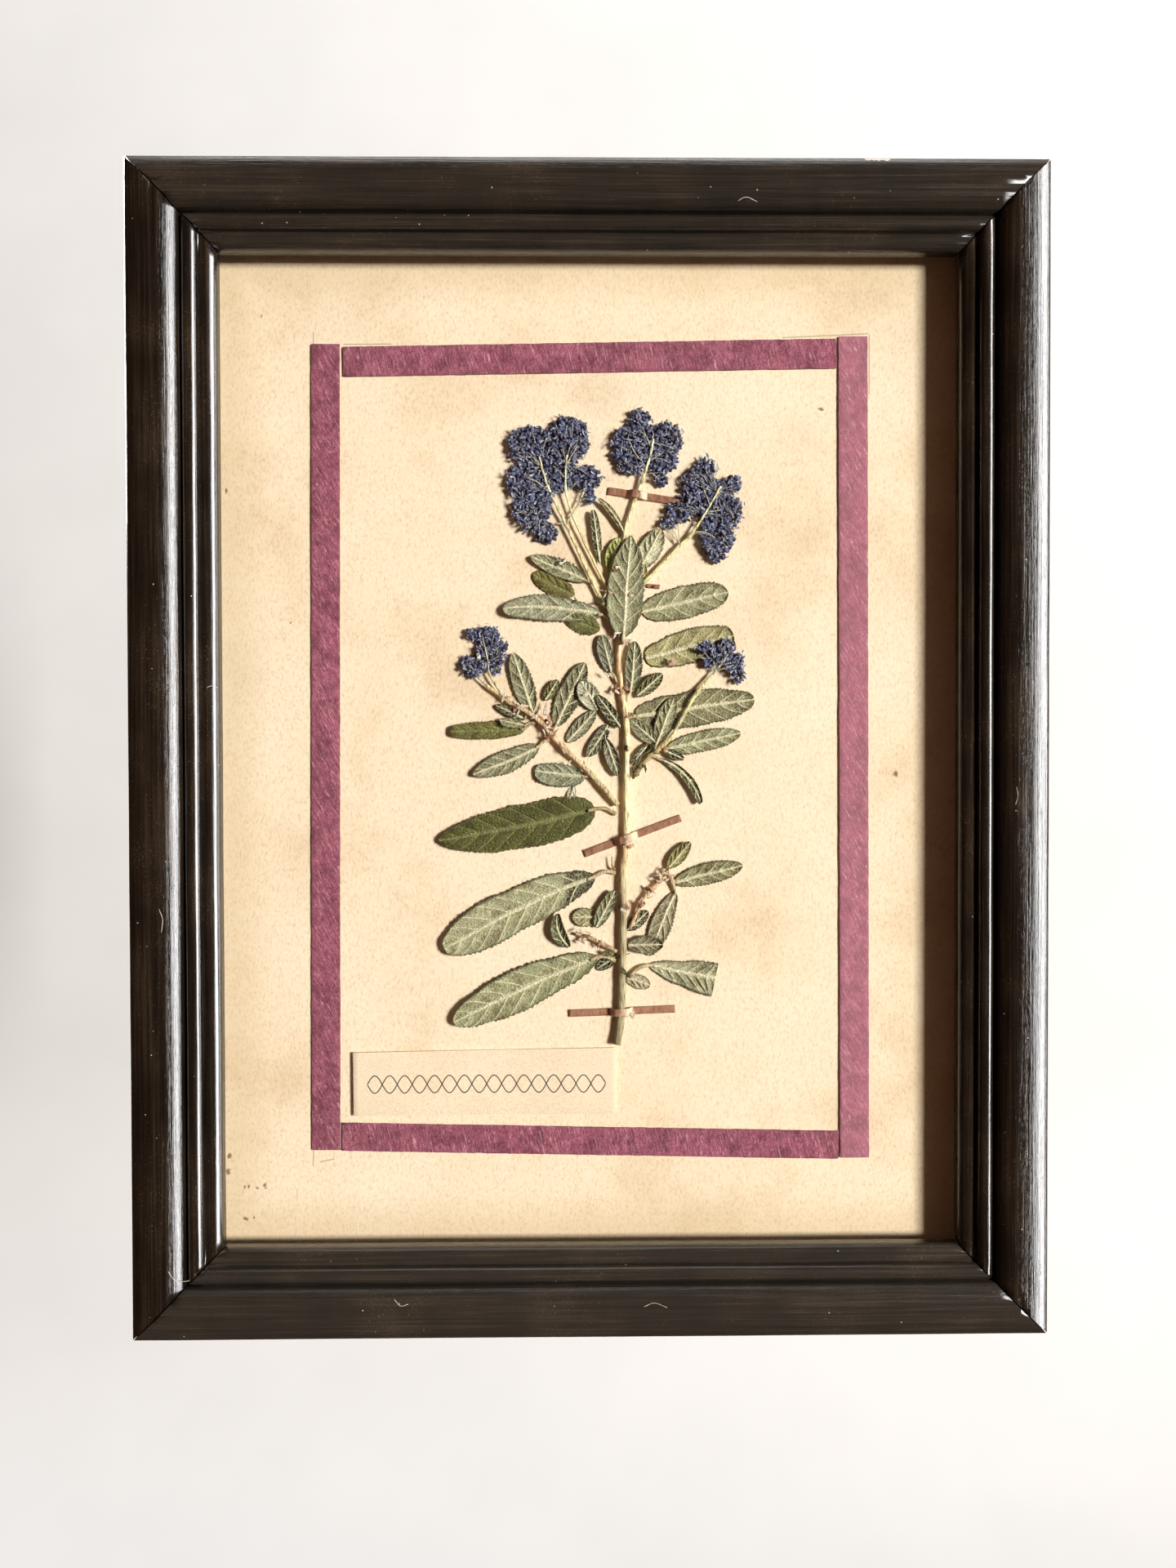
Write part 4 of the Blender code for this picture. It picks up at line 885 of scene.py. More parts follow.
# The crown leaves, crowded under the flower heads
leaf("crown_leaf_centre", (7.9, 25.8), (8.0, 27.6), (9.9, 51.8), (4.6, 4.2), (2.05, 2.15), "#b6b99e", bow=0.1,
     fullness=(0.55, 0.75), node="leaf_crown_centre")
leaf("crown_leaf_right", (9.6, 31.7), (12.6, 33.8), (33.2, 38.4), (4.0, 4.1), (0.6, 1.3), "#b7b695",
     fullness=(0.5, 0.45), node="leaf_crown_right")
leaf("crown_leaf_left", (6.3, 29.8), (3.2, 33.0), (-20.8, 34.3), (3.2, 2.8), (0.6, 2.0), "#b9bcad", bow=-1.1,
     fullness=(0.6, 0.45), node="leaf_crown_left")
leaf("crown_leaf_upper", (0.5, 40.6), (-0.8, 41.2), (-14.1, 46.8), (1.9, 2.3), (0.6, 1.6), "#a8a98f",
     node="leaf_crown_upper")
leaf("crown_leaf_dark_left", None, (-3.7, 37.9), (-13.7, 43.0), (2.4, 2.3), (0.3, 0.6), "#9c9158", upper=True)
leaf("crown_leaf_dark_low", None, (2.3, 29.5), (-6.0, 33.0), (2.6, 2.5), (0.25, 0.4), "#919260", upper=True)
leaf("crown_leaf_narrow", None, (2.5, 45.3), (0.8, 58.0), (1.1, 1.1), (1.1, 1.5), "#5e5e41",
     fullness=(0.6, 0.4))
leaf("crown_leaf_curved", None, (8.2, 52.6), (2.2, 60.7), (0.8, 0.8), (1.3, 1.6), "#96865b", bow=-0.7)
leaf("crown_leaf_green", None, (5.0, 43.5), (7.3, 51.5), (2.1, 1.9), (0.8, 1.0), "#eaff9d")
leaf("crown_leaf_pale", None, (12.0, 44.0), (17.1, 53.4), (2.8, 2.6), (1.0, 1.3), "#ffffec")
leaf("crown_leaf_behind", None, (11.4, 38.0), (13.2, 45.0), (1.4, 1.3), (0.7, 1.0), "#cab76a")


# Leaves of the left branch
leaf("left_leaf_dark", (-13.2, 7.1), (-15.9, 5.6), (-33.4, 4.9), (1.9, 2.0), (0.6, 1.7), "#8a884d",
     fullness=(0.3, 0.25), upper=True, node="leaf_left_dark")
leaf("left_leaf_low", (-9.9, 3.0), (-12.3, 1.5), (-28.1, -5.4), (2.6, 2.6), (0.6, 1.9), "#a3a38a", bow=0.3,
     fullness=(0.55, 0.6), node="leaf_left_low")
leaf("left_leaf_dusty", (0.2, -6.3), (-1.4, -6.0), (-13.3, -4.5), (3.0, 2.4), (0.6, 0.9), "#a9b1a3",
     fullness=(0.4, 0.35), node="leaf_left_dusty")
leaf("left_leaf_high", (-11.8, 7.0), (-14.0, 9.9), (-18.6, 23.7), (2.5, 2.5), (0.6, 1.2), "#abab94",
     fullness=(0.5, 0.55), node="leaf_left_high")
leaf("left_leaf_inner", (-9.0, 3.6), (-8.3, 6.2), (-1.2, 21.4), (2.9, 2.7), (0.6, 1.1), "#8e8f78",
     fullness=(0.55, 0.55), node="leaf_left_inner")
leaf("left_leaf_young", None, (-10.8, 12.6), (-7.8, 17.3), (1.4, 1.3), (1.0, 1.4), "#757324")
leaf("left_leaf_round", None, (1.8, 10.2), (-2.2, 17.0), (2.4, 2.2), (1.0, 1.5), "#fbfff8")
leaf("left_leaf_under", None, (-5.6, 2.5), (1.3, 9.9), (1.8, 1.8), (0.6, 0.9), "#a09f8b")
leaf("left_leaf_slim", None, (4.3, 6.5), (-0.6, -1.0), (1.7, 1.5), (0.8, 1.3), "#6f7365")
leaf("left_leaf_shaded", None, (7.3, 6.0), (1.8, 13.5), (1.6, 1.5), (1.3, 1.6), "#3a4125")
leaf("left_leaf_folded", None, (3.8, 3.0), (6.8, -5.6), (1.5, 1.6), (0.7, 1.2), "#8b8b84", curl=0.6)
leaf("left_leaf_tiny_upper", (-15.5, 8.6), (-15.8, 8.0), (-22.6, 11.2), (1.1, 1.1), (0.8, 1.2), "#4d4924")
leaf("left_leaf_tiny_lower", (-14.0, 7.0), (-15.7, 6.4), (-21.7, 7.7), (1.1, 1.0), (1.4, 1.9), "#988d73")
leaf("left_leaf_bit", None, (-4.0, -8.3), (-5.2, -12.0), (1.0, 1.0), (0.4, 0.8), "#ffffff")


# Leaves of the stem's upper part and of the right branch
leaf("stem_leaf_left", (6.6, 16.5), (5.1, 19.2), (2.8, 28.2), (2.1, 1.5), (0.8, 1.4), "#939893",
     node="leaf_stem_left")
leaf("stem_leaf_right", (8.6, 12.0), (9.7, 14.2), (10.8, 26.5), (1.9, 2.1), (0.8, 1.5), "#8c8e7a",
     node="leaf_stem_right")
leaf("right_leaf_high", None, (13.4, 22.6), (34.6, 28.2), (3.9, 3.9), (0.45, 0.45), "#ccc594",
     fullness=(0.35, 0.3), node="leaf_right_high")
leaf("right_leaf_large", (10.0, 8.4), (10.9, 8.6), (39.6, 12.6), (3.9, 4.4), (0.45, 0.9), "#999574",
     fullness=(0.34, 0.4), node="leaf_right_large")
leaf("right_leaf_small", (15.6, 0.6), (16.2, 2.4), (20.2, 12.9), (2.2, 1.9), (1.2, 1.2), "#b9bb9e",
     node="leaf_right_small")
leaf("right_leaf_low", (16.0, 0.2), (18.6, 0.7), (36.3, 4.5), (2.4, 2.5), (0.6, 1.4), "#babe9e", node="leaf_right_low")
leaf("right_leaf_curled", (14.4, -1.2), (16.6, -1.6), (26.8, -12.2), (1.0, 1.2), (0.6, 1.2), "#64622f", bow=1.7,
     fullness=(0.6, 0.3), curl=0.4, node="leaf_right_curled")
leaf("right_leaf_green", None, (11.3, 13.5), (17.3, 18.7), (1.8, 1.7), (1.3, 1.6), "#636117")
leaf("right_leaf_tucked", None, (15.9, 2.2), (9.9, 7.7), (1.8, 1.7), (1.0, 0.8), "#a3a48e")
leaf("right_leaf_bit", None, (14.1, 1.9), (10.0, -3.0), (1.0, 0.9), (0.8, 1.2), "#493523", curl=0.4)
leaf("right_leaf_scrap", None, (18.0, 0.3), (22.5, -1.7), (1.0, 1.0), (0.9, 1.3), "#30321a", curl=0.4)


# Dried scraps
# Bud scales, stipules and crumbled bits of leaf that still sit at the joints: papery, curled and cream,
# pink-brown or dark, from half a millimetre to three long.
SCALE_TONES = ("#f6e8d6", "#ecc9b6", "#cf9c80", "#94684c", "#fbf4ea")
GREEN_TONES = ("#5c6240", "#7a8052", "#4c4a30", "#8f8a62")
JOINT_SCRAPS = [
    (-9.2, 3.8, 1.6, 9, SCALE_TONES), (-10.6, 6.2, 1.6, 9, SCALE_TONES), (-12.8, 8.6, 1.4, 7, SCALE_TONES),
    (-17.2, 11.0, 1.6, 7, SCALE_TONES), (-20.4, 13.2, 1.4, 6, SCALE_TONES), (-6.4, 1.2, 1.2, 4, SCALE_TONES),
    (-2.2, -3.0, 0.9, 4, SCALE_TONES), (6.6, 28.4, 1.3, 7, SCALE_TONES), (8.4, 27.0, 1.2, 6, SCALE_TONES),
    (6.2, 14.8, 0.9, 5, SCALE_TONES), (8.6, 15.4, 0.9, 5, SCALE_TONES), (9.4, 9.2, 1.0, 5, SCALE_TONES),
    (8.6, 1.4, 0.7, 5, ("#3a2c22", "#4c3a2b", "#2c221b")), (12.2, -3.4, 1.6, 8, GREEN_TONES),
    (15.4, 0.2, 1.6, 9, GREEN_TONES), (17.6, 1.2, 1.2, 6, SCALE_TONES), (10.8, -5.6, 1.0, 4, GREEN_TONES),
    (9.0, -22.0, 1.2, 8, SCALE_TONES), (8.2, -37.2, 1.1, 5, SCALE_TONES), (8.4, -53.4, 1.1, 5, GREEN_TONES),
    (7.4, -63.0, 0.9, 4, SCALE_TONES), (10.0, -63.8, 0.9, 3, SCALE_TONES), (12.6, -36.4, 1.0, 5, SCALE_TONES),
    (14.8, -33.4, 1.3, 7, SCALE_TONES), (17.4, -30.6, 1.3, 8, SCALE_TONES), (18.8, -28.6, 1.0, 5, SCALE_TONES),
    (2.4, -46.4, 1.3, 6, SCALE_TONES), (-1.6, -44.4, 1.4, 8, SCALE_TONES), (4.8, -48.4, 1.1, 5, GREEN_TONES),
    (7.8, -48.8, 0.9, 4, GREEN_TONES), (4.0, 38.2, 1.3, 6, SCALE_TONES), (-6.2, 45.4, 1.0, 4, SCALE_TONES),
    (3.2, 36.4, 1.0, 4, GREEN_TONES), (9.6, 37.4, 0.9, 4, SCALE_TONES), (19.8, 21.5, 0.7, 5, ("#e6b9ae", "#f0ded2")),
    (-26.6, 22.9, 0.5, 3, ("#f4f1ea", "#e8dfd2")), (6.2, 43.8, 1.0, 5, SCALE_TONES),
]
LARGE_SCRAPS = [(-10.6, 10.4, 1.9, 3.4, 1.2, 1.4, "#efdcd2"), (-9.8, 7.8, 2.0, 2.6, 1.0, 1.9, "#d9a894"),
                (4.7, 5.2, 2.1, 2.2, 0.6, 2.3, "#f1ece0"), (3.9, 18.7, 2.0, 1.9, 0.6, 2.5, "#efe8da"),
                (-0.8, 13.8, 2.3, 1.3, 0.8, 0.4, "#f0d9cf"), (-4.9, -2.4, 2.0, 1.0, 0.6, 0.9, "#ece5d6"),
                (-20.4, 6.6, 2.3, 2.2, 1.1, 2.9, "#a3a487"), (-6.7, 45.2, 2.2, 1.2, 0.8, 0.3, "#f3ebdd"),
                (19.6, 21.6, 1.9, 1.5, 0.9, 0.2, "#e3a79c"), (-26.5, 22.8, 2.5, 1.1, 0.8, 1.2, "#f6f3ec"),
                (16.1, 40.0, 1.0, 1.6, 0.6, 0.3, "#b5623c"), (-2.6, -42.8, 2.1, 2.0, 0.6, 0.5, "#f1e9df"),
                (-0.6, -43.4, 2.2, 1.6, 0.5, 2.6, "#eadfd2"), (17.6, -28.8, 2.1, 1.7, 0.6, 1.2, "#d7c78f"),
                (19.6, -29.8, 1.9, 1.8, 0.7, 0.2, "#c9a387"), (9.9, -22.6, 2.2, 1.8, 0.9, 0.6, "#dcb49a"),
                (10.4, -63.6, 1.6, 1.4, 0.7, 0.9, "#dcd0b6"), (-3.4, 36.6, 1.4, 1.6, 0.6, 2.0, "#8c8f66")]


def papery_scale():
    """Dead bud scale: dull and papery, with brown veins 0.3 mm apart."""
    made, tree, shader = start_material("papery_bud_scale", 0.75, 0.3)
    veins = clouds(tree, 2.6, 4.0, 0.7)
    brown = ramp(tree, veins, (0.36, "#8f7a66"), (0.56, "#ffffff"))
    feed(tree, shader, {"Base Color": blend(tree, 0.8, attribute(tree, "tone", "Color"), brown, "MULTIPLY"),
                        "Normal": relief(tree, veins, 0.7, 0.15)})
    return made


def add_scrap(bm, x, z, height, length, width, turn, tone, curl):
    """A small pointed scale, curled along its length, turned about the card's normal."""
    made = bmesh.ops.create_grid(bm, x_segments=4, y_segments=2, size=1.0)["verts"]
    tones = bm.verts.layers.float_color["tone"]
    middle = on_card(x, z, height)
    for vert in made:
        along, across = vert.co.x, vert.co.y
        half = width / 2 * (1 - 0.85 * ((along + 1) / 2) ** 2) * (0.55 + 0.45 * min(1.0, along + 1.6))
        flat = Vector((along * length / 2, across * half))
        rise = curl * (0.55 * along ** 2 + 0.5 * across ** 2) * half * 1.2 + 0.1 * noise.noise(
            Vector((x + along, z + across, 4.0)))
        turned = Vector((flat.x * math.cos(turn) - flat.y * math.sin(turn),
                         flat.x * math.sin(turn) + flat.y * math.cos(turn)))
        vert.co = middle + Vector((turned.x, -rise, turned.y)) * MM
        vert[tones] = tone


rng = random.Random("dried scraps")
bm = bmesh.new()
bm.verts.layers.float_color.new("tone")
for x, z, spread, count, shades in JOINT_SCRAPS:
    for scrap in range(count):
        away = rng.uniform(0, 2 * math.pi)
        reach = spread * math.sqrt(rng.random())
        add_scrap(bm, x + reach * math.cos(away), z + reach * math.sin(away), rng.uniform(1.2, 2.3),
                  rng.uniform(0.7, 2.2), rng.uniform(0.35, 0.85), away + rng.gauss(0, 0.5),
                  Vector(linear(rng.choice(shades))) * rng.uniform(0.8, 1.15), rng.uniform(0.4, 1.6))
for x, z, height, length, width, turn, tone in LARGE_SCRAPS:
    add_scrap(bm, x, z, height, length, width, turn, Vector(linear(tone)), 0.9)
bmesh.ops.recalc_face_normals(bm, faces=bm.faces)
thicken(finish_piece("dried_scraps", bm, papery_scale(), "dried_stem"), 0.06)


# Flower heads
# Dense clusters of unopened blue buds, each a hooded bead of a millimetre and a half with five folds, on
# pale hair-thin stalklets. Dried, they have gone dark violet-blue with paler, crumpled petal edges.
FLOWER_HEADS = {
    "left": [(-7.6, 66.4, 5.2, 4.2), (-5.2, 74.8, 5.5, 5.7), (-14.1, 73.3, 5.5, 5.0), (-15.6, 64.9, 4.5, 4.6),
             (-14.1, 57.9, 4.7, 4.7), (-10.6, 53.0, 3.0, 2.9), (-0.8, 65.8, 3.5, 3.3), (0.2, 61.8, 1.5, 2.4),
             (-9.8, 70.4, 4.0, 3.2), (-12.2, 61.6, 4.0, 3.4)],
    "middle": [(10.3, 72.8, 5.0, 6.4), (12.2, 79.4, 2.7, 3.1), (18.4, 74.8, 4.2, 4.5), (17.2, 69.8, 4.2, 3.4),
               (17.2, 65.6, 2.0, 1.9), (14.6, 74.0, 3.2, 4.6)],
    "right": [(26.2, 62.9, 4.4, 5.8), (28.1, 68.2, 2.6, 2.6), (31.3, 61.0, 3.6, 4.6), (34.6, 64.6, 2.1, 2.1),
              (34.1, 57.9, 2.8, 4.0), (30.6, 51.9, 4.3, 5.6), (30.8, 47.3, 2.3, 2.0), (21.6, 57.4, 3.6, 2.7),
              (18.9, 54.9, 1.7, 1.6), (29.4, 57.4, 3.4, 3.4)],
    "low_left": [(-25.1, 23.6, 2.9, 3.2), (-24.9, 28.1, 3.4, 2.4), (-28.9, 28.4, 1.5, 1.3), (-21.9, 24.6, 2.6, 3.0),
                 (-28.1, 20.7, 3.2, 2.8), (-22.9, 21.1, 2.2, 2.3)],
    "low_right": [(31.1, 23.2, 2.6, 2.4), (28.6, 24.9, 3.0, 1.6), (33.0, 25.4, 2.5, 2.0), (28.8, 21.5, 1.8, 1.6),
                  (34.5, 21.8, 2.8, 2.9), (35.5, 18.6, 1.9, 2.2)],
}
HEAD_FORKS = {"left": [(-9.4, 61.8, 1.7), (-5.5, 61.6, 1.7), (-11.3, 68.0, 2.3), (-5.6, 69.0, 2.3), (-12.4, 57.0, 1.7)],
              "middle": [(12.9, 66.5, 1.6), (14.4, 70.5, 2.2), (15.2, 74.0, 2.3)],
              "right": [(24.2, 52.0, 1.5), (27.6, 57.0, 2.2), (30.6, 62.0, 2.3), (20.4, 48.9, 1.5)],
              "low_left": [(-24.9, 16.0, 1.4), (-24.2, 19.0, 1.5), (-24.6, 22.5, 1.8)],
              "low_right": [(29.4, 18.4, 1.6), (30.4, 20.4, 1.7)]}
BUD_RADIUS = 0.66
BUD_SPACING = 0.95
BUD_LAYERS = (1.05, 1.85)
BUD_TRIES = 10
BUD_CRUMPLE, PETAL_CRUMPLE = 0.16, 0.08
STALKLET_RADII = (0.09, 0.08, 0.075, 0.07, 0.06)
BUD_TONES = ("#2b2c4c", "#353859", "#43476f", "#28233f", "#50557f")
PETAL_TONES = ("#777a9c", "#9c9fbb", "#cfcfdc", "#555a80")


def bud_mesh():
    """A closed bud: a small ball drawn to a blunt tip and pinched into five folds."""
    bm = bmesh.new()
    bmesh.ops.create_uvsphere(bm, u_segments=10, v_segments=5, radius=1.0)
    folds = bm.verts.layers.float.new("fold")
    bm.verts.layers.float_color.new("tone")
    for vert in bm.verts:
        fold = 0.5 + 0.5 * math.cos(5 * math.atan2(vert.co.y, vert.co.x))
        around = math.hypot(vert.co.x, vert.co.y)
        vert.co.x *= 1 - 0.34 * (1 - fold) * around
        vert.co.y *= 1 - 0.34 * (1 - fold) * around
        vert.co.z *= 0.84 + 0.16 * fold
        vert[folds] = fold * around if vert.co.z > -0.3 else 0.1
    return as_mesh("bud", bm)


def petal_mesh():
    """A dried petal: a narrow hooded scoop, two units long before it is scaled."""
    bm = bmesh.new()
    bmesh.ops.create_grid(bm, x_segments=3, y_segments=2, size=1.0)
    folds = bm.verts.layers.float.new("fold")
    bm.verts.layers.float_color.new("tone")
    for vert in bm.verts:
        narrow = 0.22 + 0.2 * (1 - abs(vert.co.x)) + (0.14 if vert.co.x > 0.5 else 0.0)
        vert.co = Vector((vert.co.x, vert.co.y * narrow, 0.5 * abs(vert.co.y) * narrow + 0.35 * vert.co.x ** 2))
        vert[folds] = 0.9
    return as_mesh("petal", bm)


def bud_skin():
    """Papery dried sepals, violet-blue, with painted shade near black in the folds and a painted highlight on their
    crests.
    """
    made, tree, shader = start_material("dried_blue_bud", 0.6, 0.4)
    crease = clouds(tree, 2.4, 3.0, 0.7)
    height = plus(tree, attribute(tree, "fold"), times(tree, crease, 1.2))
    # Painted highlight: pale lavender on the fold crests, and on the petals, which share this skin
    colour = blend(tree, fade(tree, height, 0.95, 1.6, 0.0, 0.5), attribute(tree, "tone", "Color"), "#9296b8")
    # Painted shade: near black in the folds and at the bud's tip and back
    colour = blend(tree, fade(tree, height, 0.45, 0.85, 0.75, 0.0), colour, "#15142a")
    feed(tree, shader, {"Base Color": colour, "Normal": relief(tree, crease, 0.9, 0.25)})
    return made


def inside_any(lumps, x, z, shrink):
    return any(((x - cx) / (rx - shrink)) ** 2 + ((z - cz) / (rz - shrink)) ** 2 < 1
               for cx, cz, rx, rz in lumps if rx > shrink and rz > shrink)


def plant(bm, template, matrix, tone, crumple):
    """Adds a crumpled copy of the template to the bmesh, in one tone."""
    before = len(bm.verts)
    bm.from_mesh(template)
    bm.verts.ensure_lookup_table()
    tones = bm.verts.layers.float_color["tone"]
    for vert in bm.verts[before:]:
        vert.co = matrix @ vert.co
        vert.co += noise.noise_vector(vert.co / (0.7 * MM)) * crumple * MM
        vert[tones] = tone


bud, petal = bud_mesh(), petal_mesh()
bud_material = bud_skin()
stalklet_material = mottled("hair_thin_stalklet", 0.7, 0.8, (0.35, "#8f8b93"), (0.6, "#cfcdc9"))
anther_material = mottled("cream_anther", 0.6, 3.0, (0.4, "#cfc6b4"), (0.6, "#fbf7ee"))
for head, lumps in FLOWER_HEADS.items():
    rng = random.Random(f"{head} head")
    low = Vector((min(x - rx for x, z, rx, rz in lumps), min(z - rz for x, z, rx, rz in lumps)))
    high = Vector((max(x + rx for x, z, rx, rz in lumps), max(z + rz for x, z, rx, rz in lumps)))
    bm = bmesh.new()
    bm.verts.layers.float_color.new("tone")
    bm.verts.layers.float.new("fold")
    anthers = bmesh.new()
    stalklets = []
    forks = [on_card(*place) for place in HEAD_FORKS[head]]
    for layer, height in enumerate(BUD_LAYERS):
        placed = []
        for attempt in range(int((high.x - low.x) * (high.y - low.y) * BUD_TRIES)):
            x, z = rng.uniform(low.x, high.x), rng.uniform(low.y, high.y)
            size = BUD_RADIUS * rng.uniform(0.62, 1.2)
            ragged = 0.5 * noise.noise(Vector((x / 1.8, z / 1.8, layer)))
            if not inside_any(lumps, x, z, (size * 0.6 if layer == 0 else size) + ragged):
                continue
            if any((x - px) ** 2 + (z - pz) ** 2 < (BUD_SPACING * 0.5 * (1 + size / BUD_RADIUS)) ** 2 * 0.9
                   for px, pz in placed):
                continue
            if layer == 1 and rng.random() < 0.15:
                continue
            placed.append((x, z))
            centre = on_card(x, z, height + rng.uniform(-0.3, 0.25))
            fork = min(forks, key=lambda f: (f - centre).length)
            outward = (centre - fork).normalized() * 0.9 + Vector((rng.gauss(0, 0.5), rng.uniform(-1.4, 0.1),
                                                                    rng.gauss(0, 0.5)))
            lean = outward.to_track_quat("Z", "Y").to_matrix().to_4x4() @ Matrix.Rotation(rng.uniform(0, 6.3), 4, "Z")
            stretch = Matrix.Diagonal((size * MM, size * MM, size * rng.uniform(0.95, 1.4) * MM, 1.0))
            tone = Vector(linear(rng.choice(BUD_TONES))) * rng.uniform(0.8, 1.6)
            plant(bm, bud, Matrix.Translation(centre) @ lean @ stretch, tone, BUD_CRUMPLE)
            top = centre + Vector((rng.gauss(0, 0.3), -size * 0.72, rng.gauss(0, 0.3))) * MM
            for spare in range(2 if layer else 1):
                spot = top + Vector((rng.gauss(0, 0.4), rng.uniform(-0.05, 0.35), rng.gauss(0, 0.4))) * MM
                turn = Matrix.Rotation(rng.uniform(0, 6.3), 4, "Y") @ Matrix.Rotation(
                    math.radians(90) + rng.gauss(0, 0.6), 4, "X")
                long = rng.uniform(0.35, 0.62) * MM
                plant(bm, petal, Matrix.Translation(spot) @ turn @ Matrix.Diagonal((long, long, long, 1.0)),
                      Vector(linear(rng.choice(PETAL_TONES))) * rng.uniform(0.65, 1.05), PETAL_CRUMPLE)
            if rng.random() < 0.4:
                bmesh.ops.create_icosphere(anthers, subdivisions=1, radius=rng.uniform(0.1, 0.19) * MM,
                                           matrix=Matrix.Translation(top + Vector((0, -0.08, 0)) * MM))
            if rng.random() < (0.15 if layer == 0 else 0.22):
                reach = rng.uniform(1.8, 3.6) * MM
                start = fork.lerp(top, max(0.0, 1 - reach / max(1e-6, (fork - top).length)))
                bend = start.lerp(top, 0.5) + Vector((rng.gauss(0, 0.25), -0.15, rng.gauss(0, 0.25))) * MM
                stalklets.append((smooth_route([start, bend, top], 2), STALKLET_RADII))
    finish_piece(f"buds_{head}", bm, bud_material, "dried_buds", f"flower_head_{head}")
    finish_piece(f"stalklets_{head}", stalks_bmesh(stalklets, 1), stalklet_material, "dried_stem")
    finish_piece(f"anthers_{head}", anthers, anther_material, "dried_buds")
bpy.data.meshes.remove(bud)
bpy.data.meshes.remove(petal)


# Backing board, brads and hanger
# Grey-brown pulp board closes the rabbet, held by four steel brads. A stamped brass-plated sawtooth
# plate is nailed to the top rail.
def pulp_board():
    """Recycled pulp board: flecks about 1 mm long in a grey-brown ground, darker towards damp patches."""
    made, tree, shader = start_material("grey_pulp_board", 0.9, 0.2)
    fleck = clouds(tree, 1.2, 5.0, 0.75, (0.7, 1.0, 1.3), 0.3)
    base = ramp(tree, fleck, (0.3, "#7a6a54"), (0.5, "#a08d72"), (0.7, "#b8a78b"))
    damp = ramp(tree, clouds(tree, 0.018, 5.0), (0.35, "#b59f82"), (0.6, "#ffffff"))
    feed(tree, shader, {"Base Color": blend(tree, 0.6, base, damp, "MULTIPLY"),
                        "Normal": relief(tree, fleck, 0.4, 0.1)})
    return made


def stamped_metal(name, bright, dull, roughness):
    """Plated sheet or wire, tarnished in patches about 2 mm across and finely scratched."""
    made, tree, shader = start_material(name, roughness, Metallic=0.75)
    tarnish = clouds(tree, 0.5, 5.0, 0.7)
    scratch = clouds(tree, 1.0, stretch=(0.15, 3.0, 3.0))
    feed(tree, shader, {"Base Color": ramp(tree, tarnish, (0.38, dull), (0.6, bright)),
                        "Roughness": fade(tree, tarnish, 0.35, 0.65, roughness + 0.2, roughness - 0.05),
                        "Normal": relief(tree, scratch, 0.25, 0.03)})
    return made


cover("backing_board", pulp_board())
cover("hanger_plate", stamped_metal("brass_plated_steel", "#d9b36a", "#8a6a3a", 0.3))
steel = stamped_metal("bright_steel_wire", "#c9c7c2", "#7d7a74", 0.32)
for node in ("hanger_nail_left", "hanger_nail_right", "brad_top", "brad_bottom", "brad_left", "brad_right"):
    cover(node, steel)


# Stage: a pale floor that sweeps up behind the object; a soft window at the right that gives the light
# and a tall one that only mirrors in the paint; a weak light overhead and one behind for the back; and
# the camera where the photograph was taken
FLOOR_Z = -0.75
SWEEP_RADIUS = 0.45
SWEEP_STEPS = 16
SWEEP_LEFT_X = -4.2
SWEEP_WIDTH = 6.8
FLOOR_FRONT_Y = -2.9
WALL_Y = 0.95
WALL_TOP_Z = 2.6
sweep = [(FLOOR_FRONT_Y, FLOOR_Z)]
for step in range(SWEEP_STEPS + 1):
    angle = math.pi / 2 * step / SWEEP_STEPS
    sweep.append((WALL_Y - SWEEP_RADIUS + SWEEP_RADIUS * math.sin(angle),
                  FLOOR_Z + SWEEP_RADIUS * (1 - math.cos(angle))))
sweep.append((WALL_Y, WALL_TOP_Z))
bm = bmesh.new()
side_verts = [bm.verts.new((SWEEP_LEFT_X, y, z)) for y, z in sweep]
edges = [bm.edges.new(pair) for pair in zip(side_verts, side_verts[1:])]
pulled = bmesh.ops.extrude_edge_only(bm, edges=edges)["geom"]
bmesh.ops.translate(bm, vec=(SWEEP_WIDTH, 0, 0), verts=[g for g in pulled if isinstance(g, bmesh.types.BMVert)])
backdrop = bpy.data.objects.new("floor", as_mesh("floor", bm))
backdrop.data.shade_smooth()
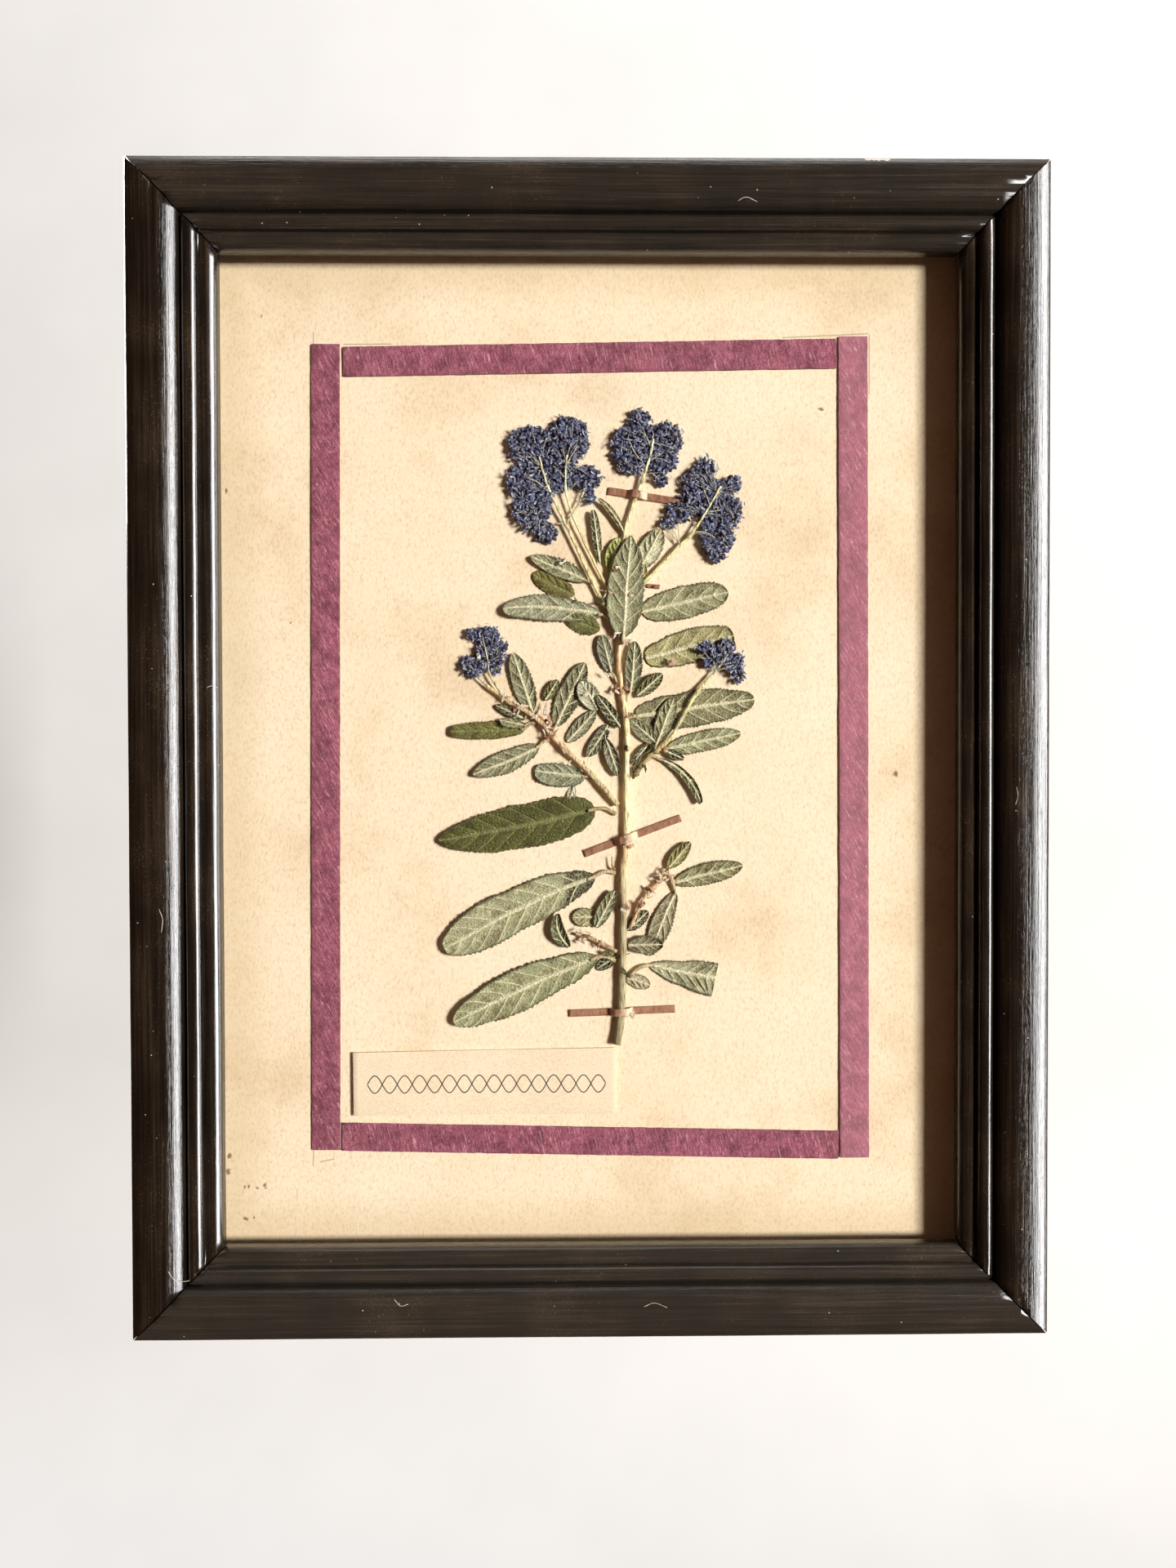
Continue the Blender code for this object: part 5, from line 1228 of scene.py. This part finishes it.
backdrop.data.materials.append(
    mottled("matt_white_paper", 0.95, 0.01, (0.3, "#eceef2"), (0.7, "#f0f2f6"), shine=0.1))
bpy.context.scene.collection.objects.link(backdrop)
backdrop.visible_diffuse = False
backdrop.visible_glossy = False

world = bpy.data.worlds.new("studio")
bpy.context.scene.world = world
world.use_nodes = True
sky = world.node_tree
sky.nodes.clear()
seen = add_node(sky, "Background", {"Color": "#e6e4e0", "Strength": 1.0})
glow = add_node(sky, "Background", {"Color": "#ffb184", "Strength": 0.06})
which = add_node(sky, "MixShader", {0: add_node(sky, "LightPath").outputs["Is Camera Ray"], 1: glow, 2: seen})
add_node(sky, "OutputWorld", {"Surface": which})


def soft_light(name, place, size, power, colour="#ffffff", target=(0, 0, 0)):
    """A rectangular light that faces its target and isn't seen itself."""
    lamp = bpy.data.lights.new(name, "AREA")
    lamp.shape = "RECTANGLE"
    lamp.size, lamp.size_y = size
    lamp.energy = power
    lamp.color = linear(colour)[:3]
    light = bpy.data.objects.new(name, lamp)
    bpy.context.scene.collection.objects.link(light)
    light.location = place
    light.rotation_euler = (Vector(target) - light.location).to_track_quat("-Z", "Y").to_euler()
    light.visible_camera = False
    return light


window = soft_light("window", (2.63, -2.92, 0.22), (0.8, 0.8), 252, "#fffaf0")
window.visible_glossy = False
glare = soft_light("tall window glare", (3.56, -1.59, 0.0), (2.0, 4.4), 800)
glare.visible_diffuse = False
soft_light("overhead", (0.0, 0.3, 2.2), (1.6, 1.2), 20, target=(0, 0.3, FLOOR_Z))
soft_light("behind", (-0.9, 0.9, 0.6), (0.6, 0.6), 36, target=(-0.9, 0, 0.6))

camera_data = bpy.data.cameras.new("camera")
camera_data.lens = 27.04
camera_data.sensor_width = 36
camera_data.clip_start = 0.01
camera = bpy.data.objects.new("camera", camera_data)
bpy.context.scene.collection.objects.link(camera)
camera.location = (-0.00391, -0.28252, -0.00349)
camera.rotation_euler = [math.radians(a) for a in (89.149, 0.133, -0.685)]
bpy.context.scene.camera = camera
bpy.context.scene.view_settings.view_transform = "Standard"
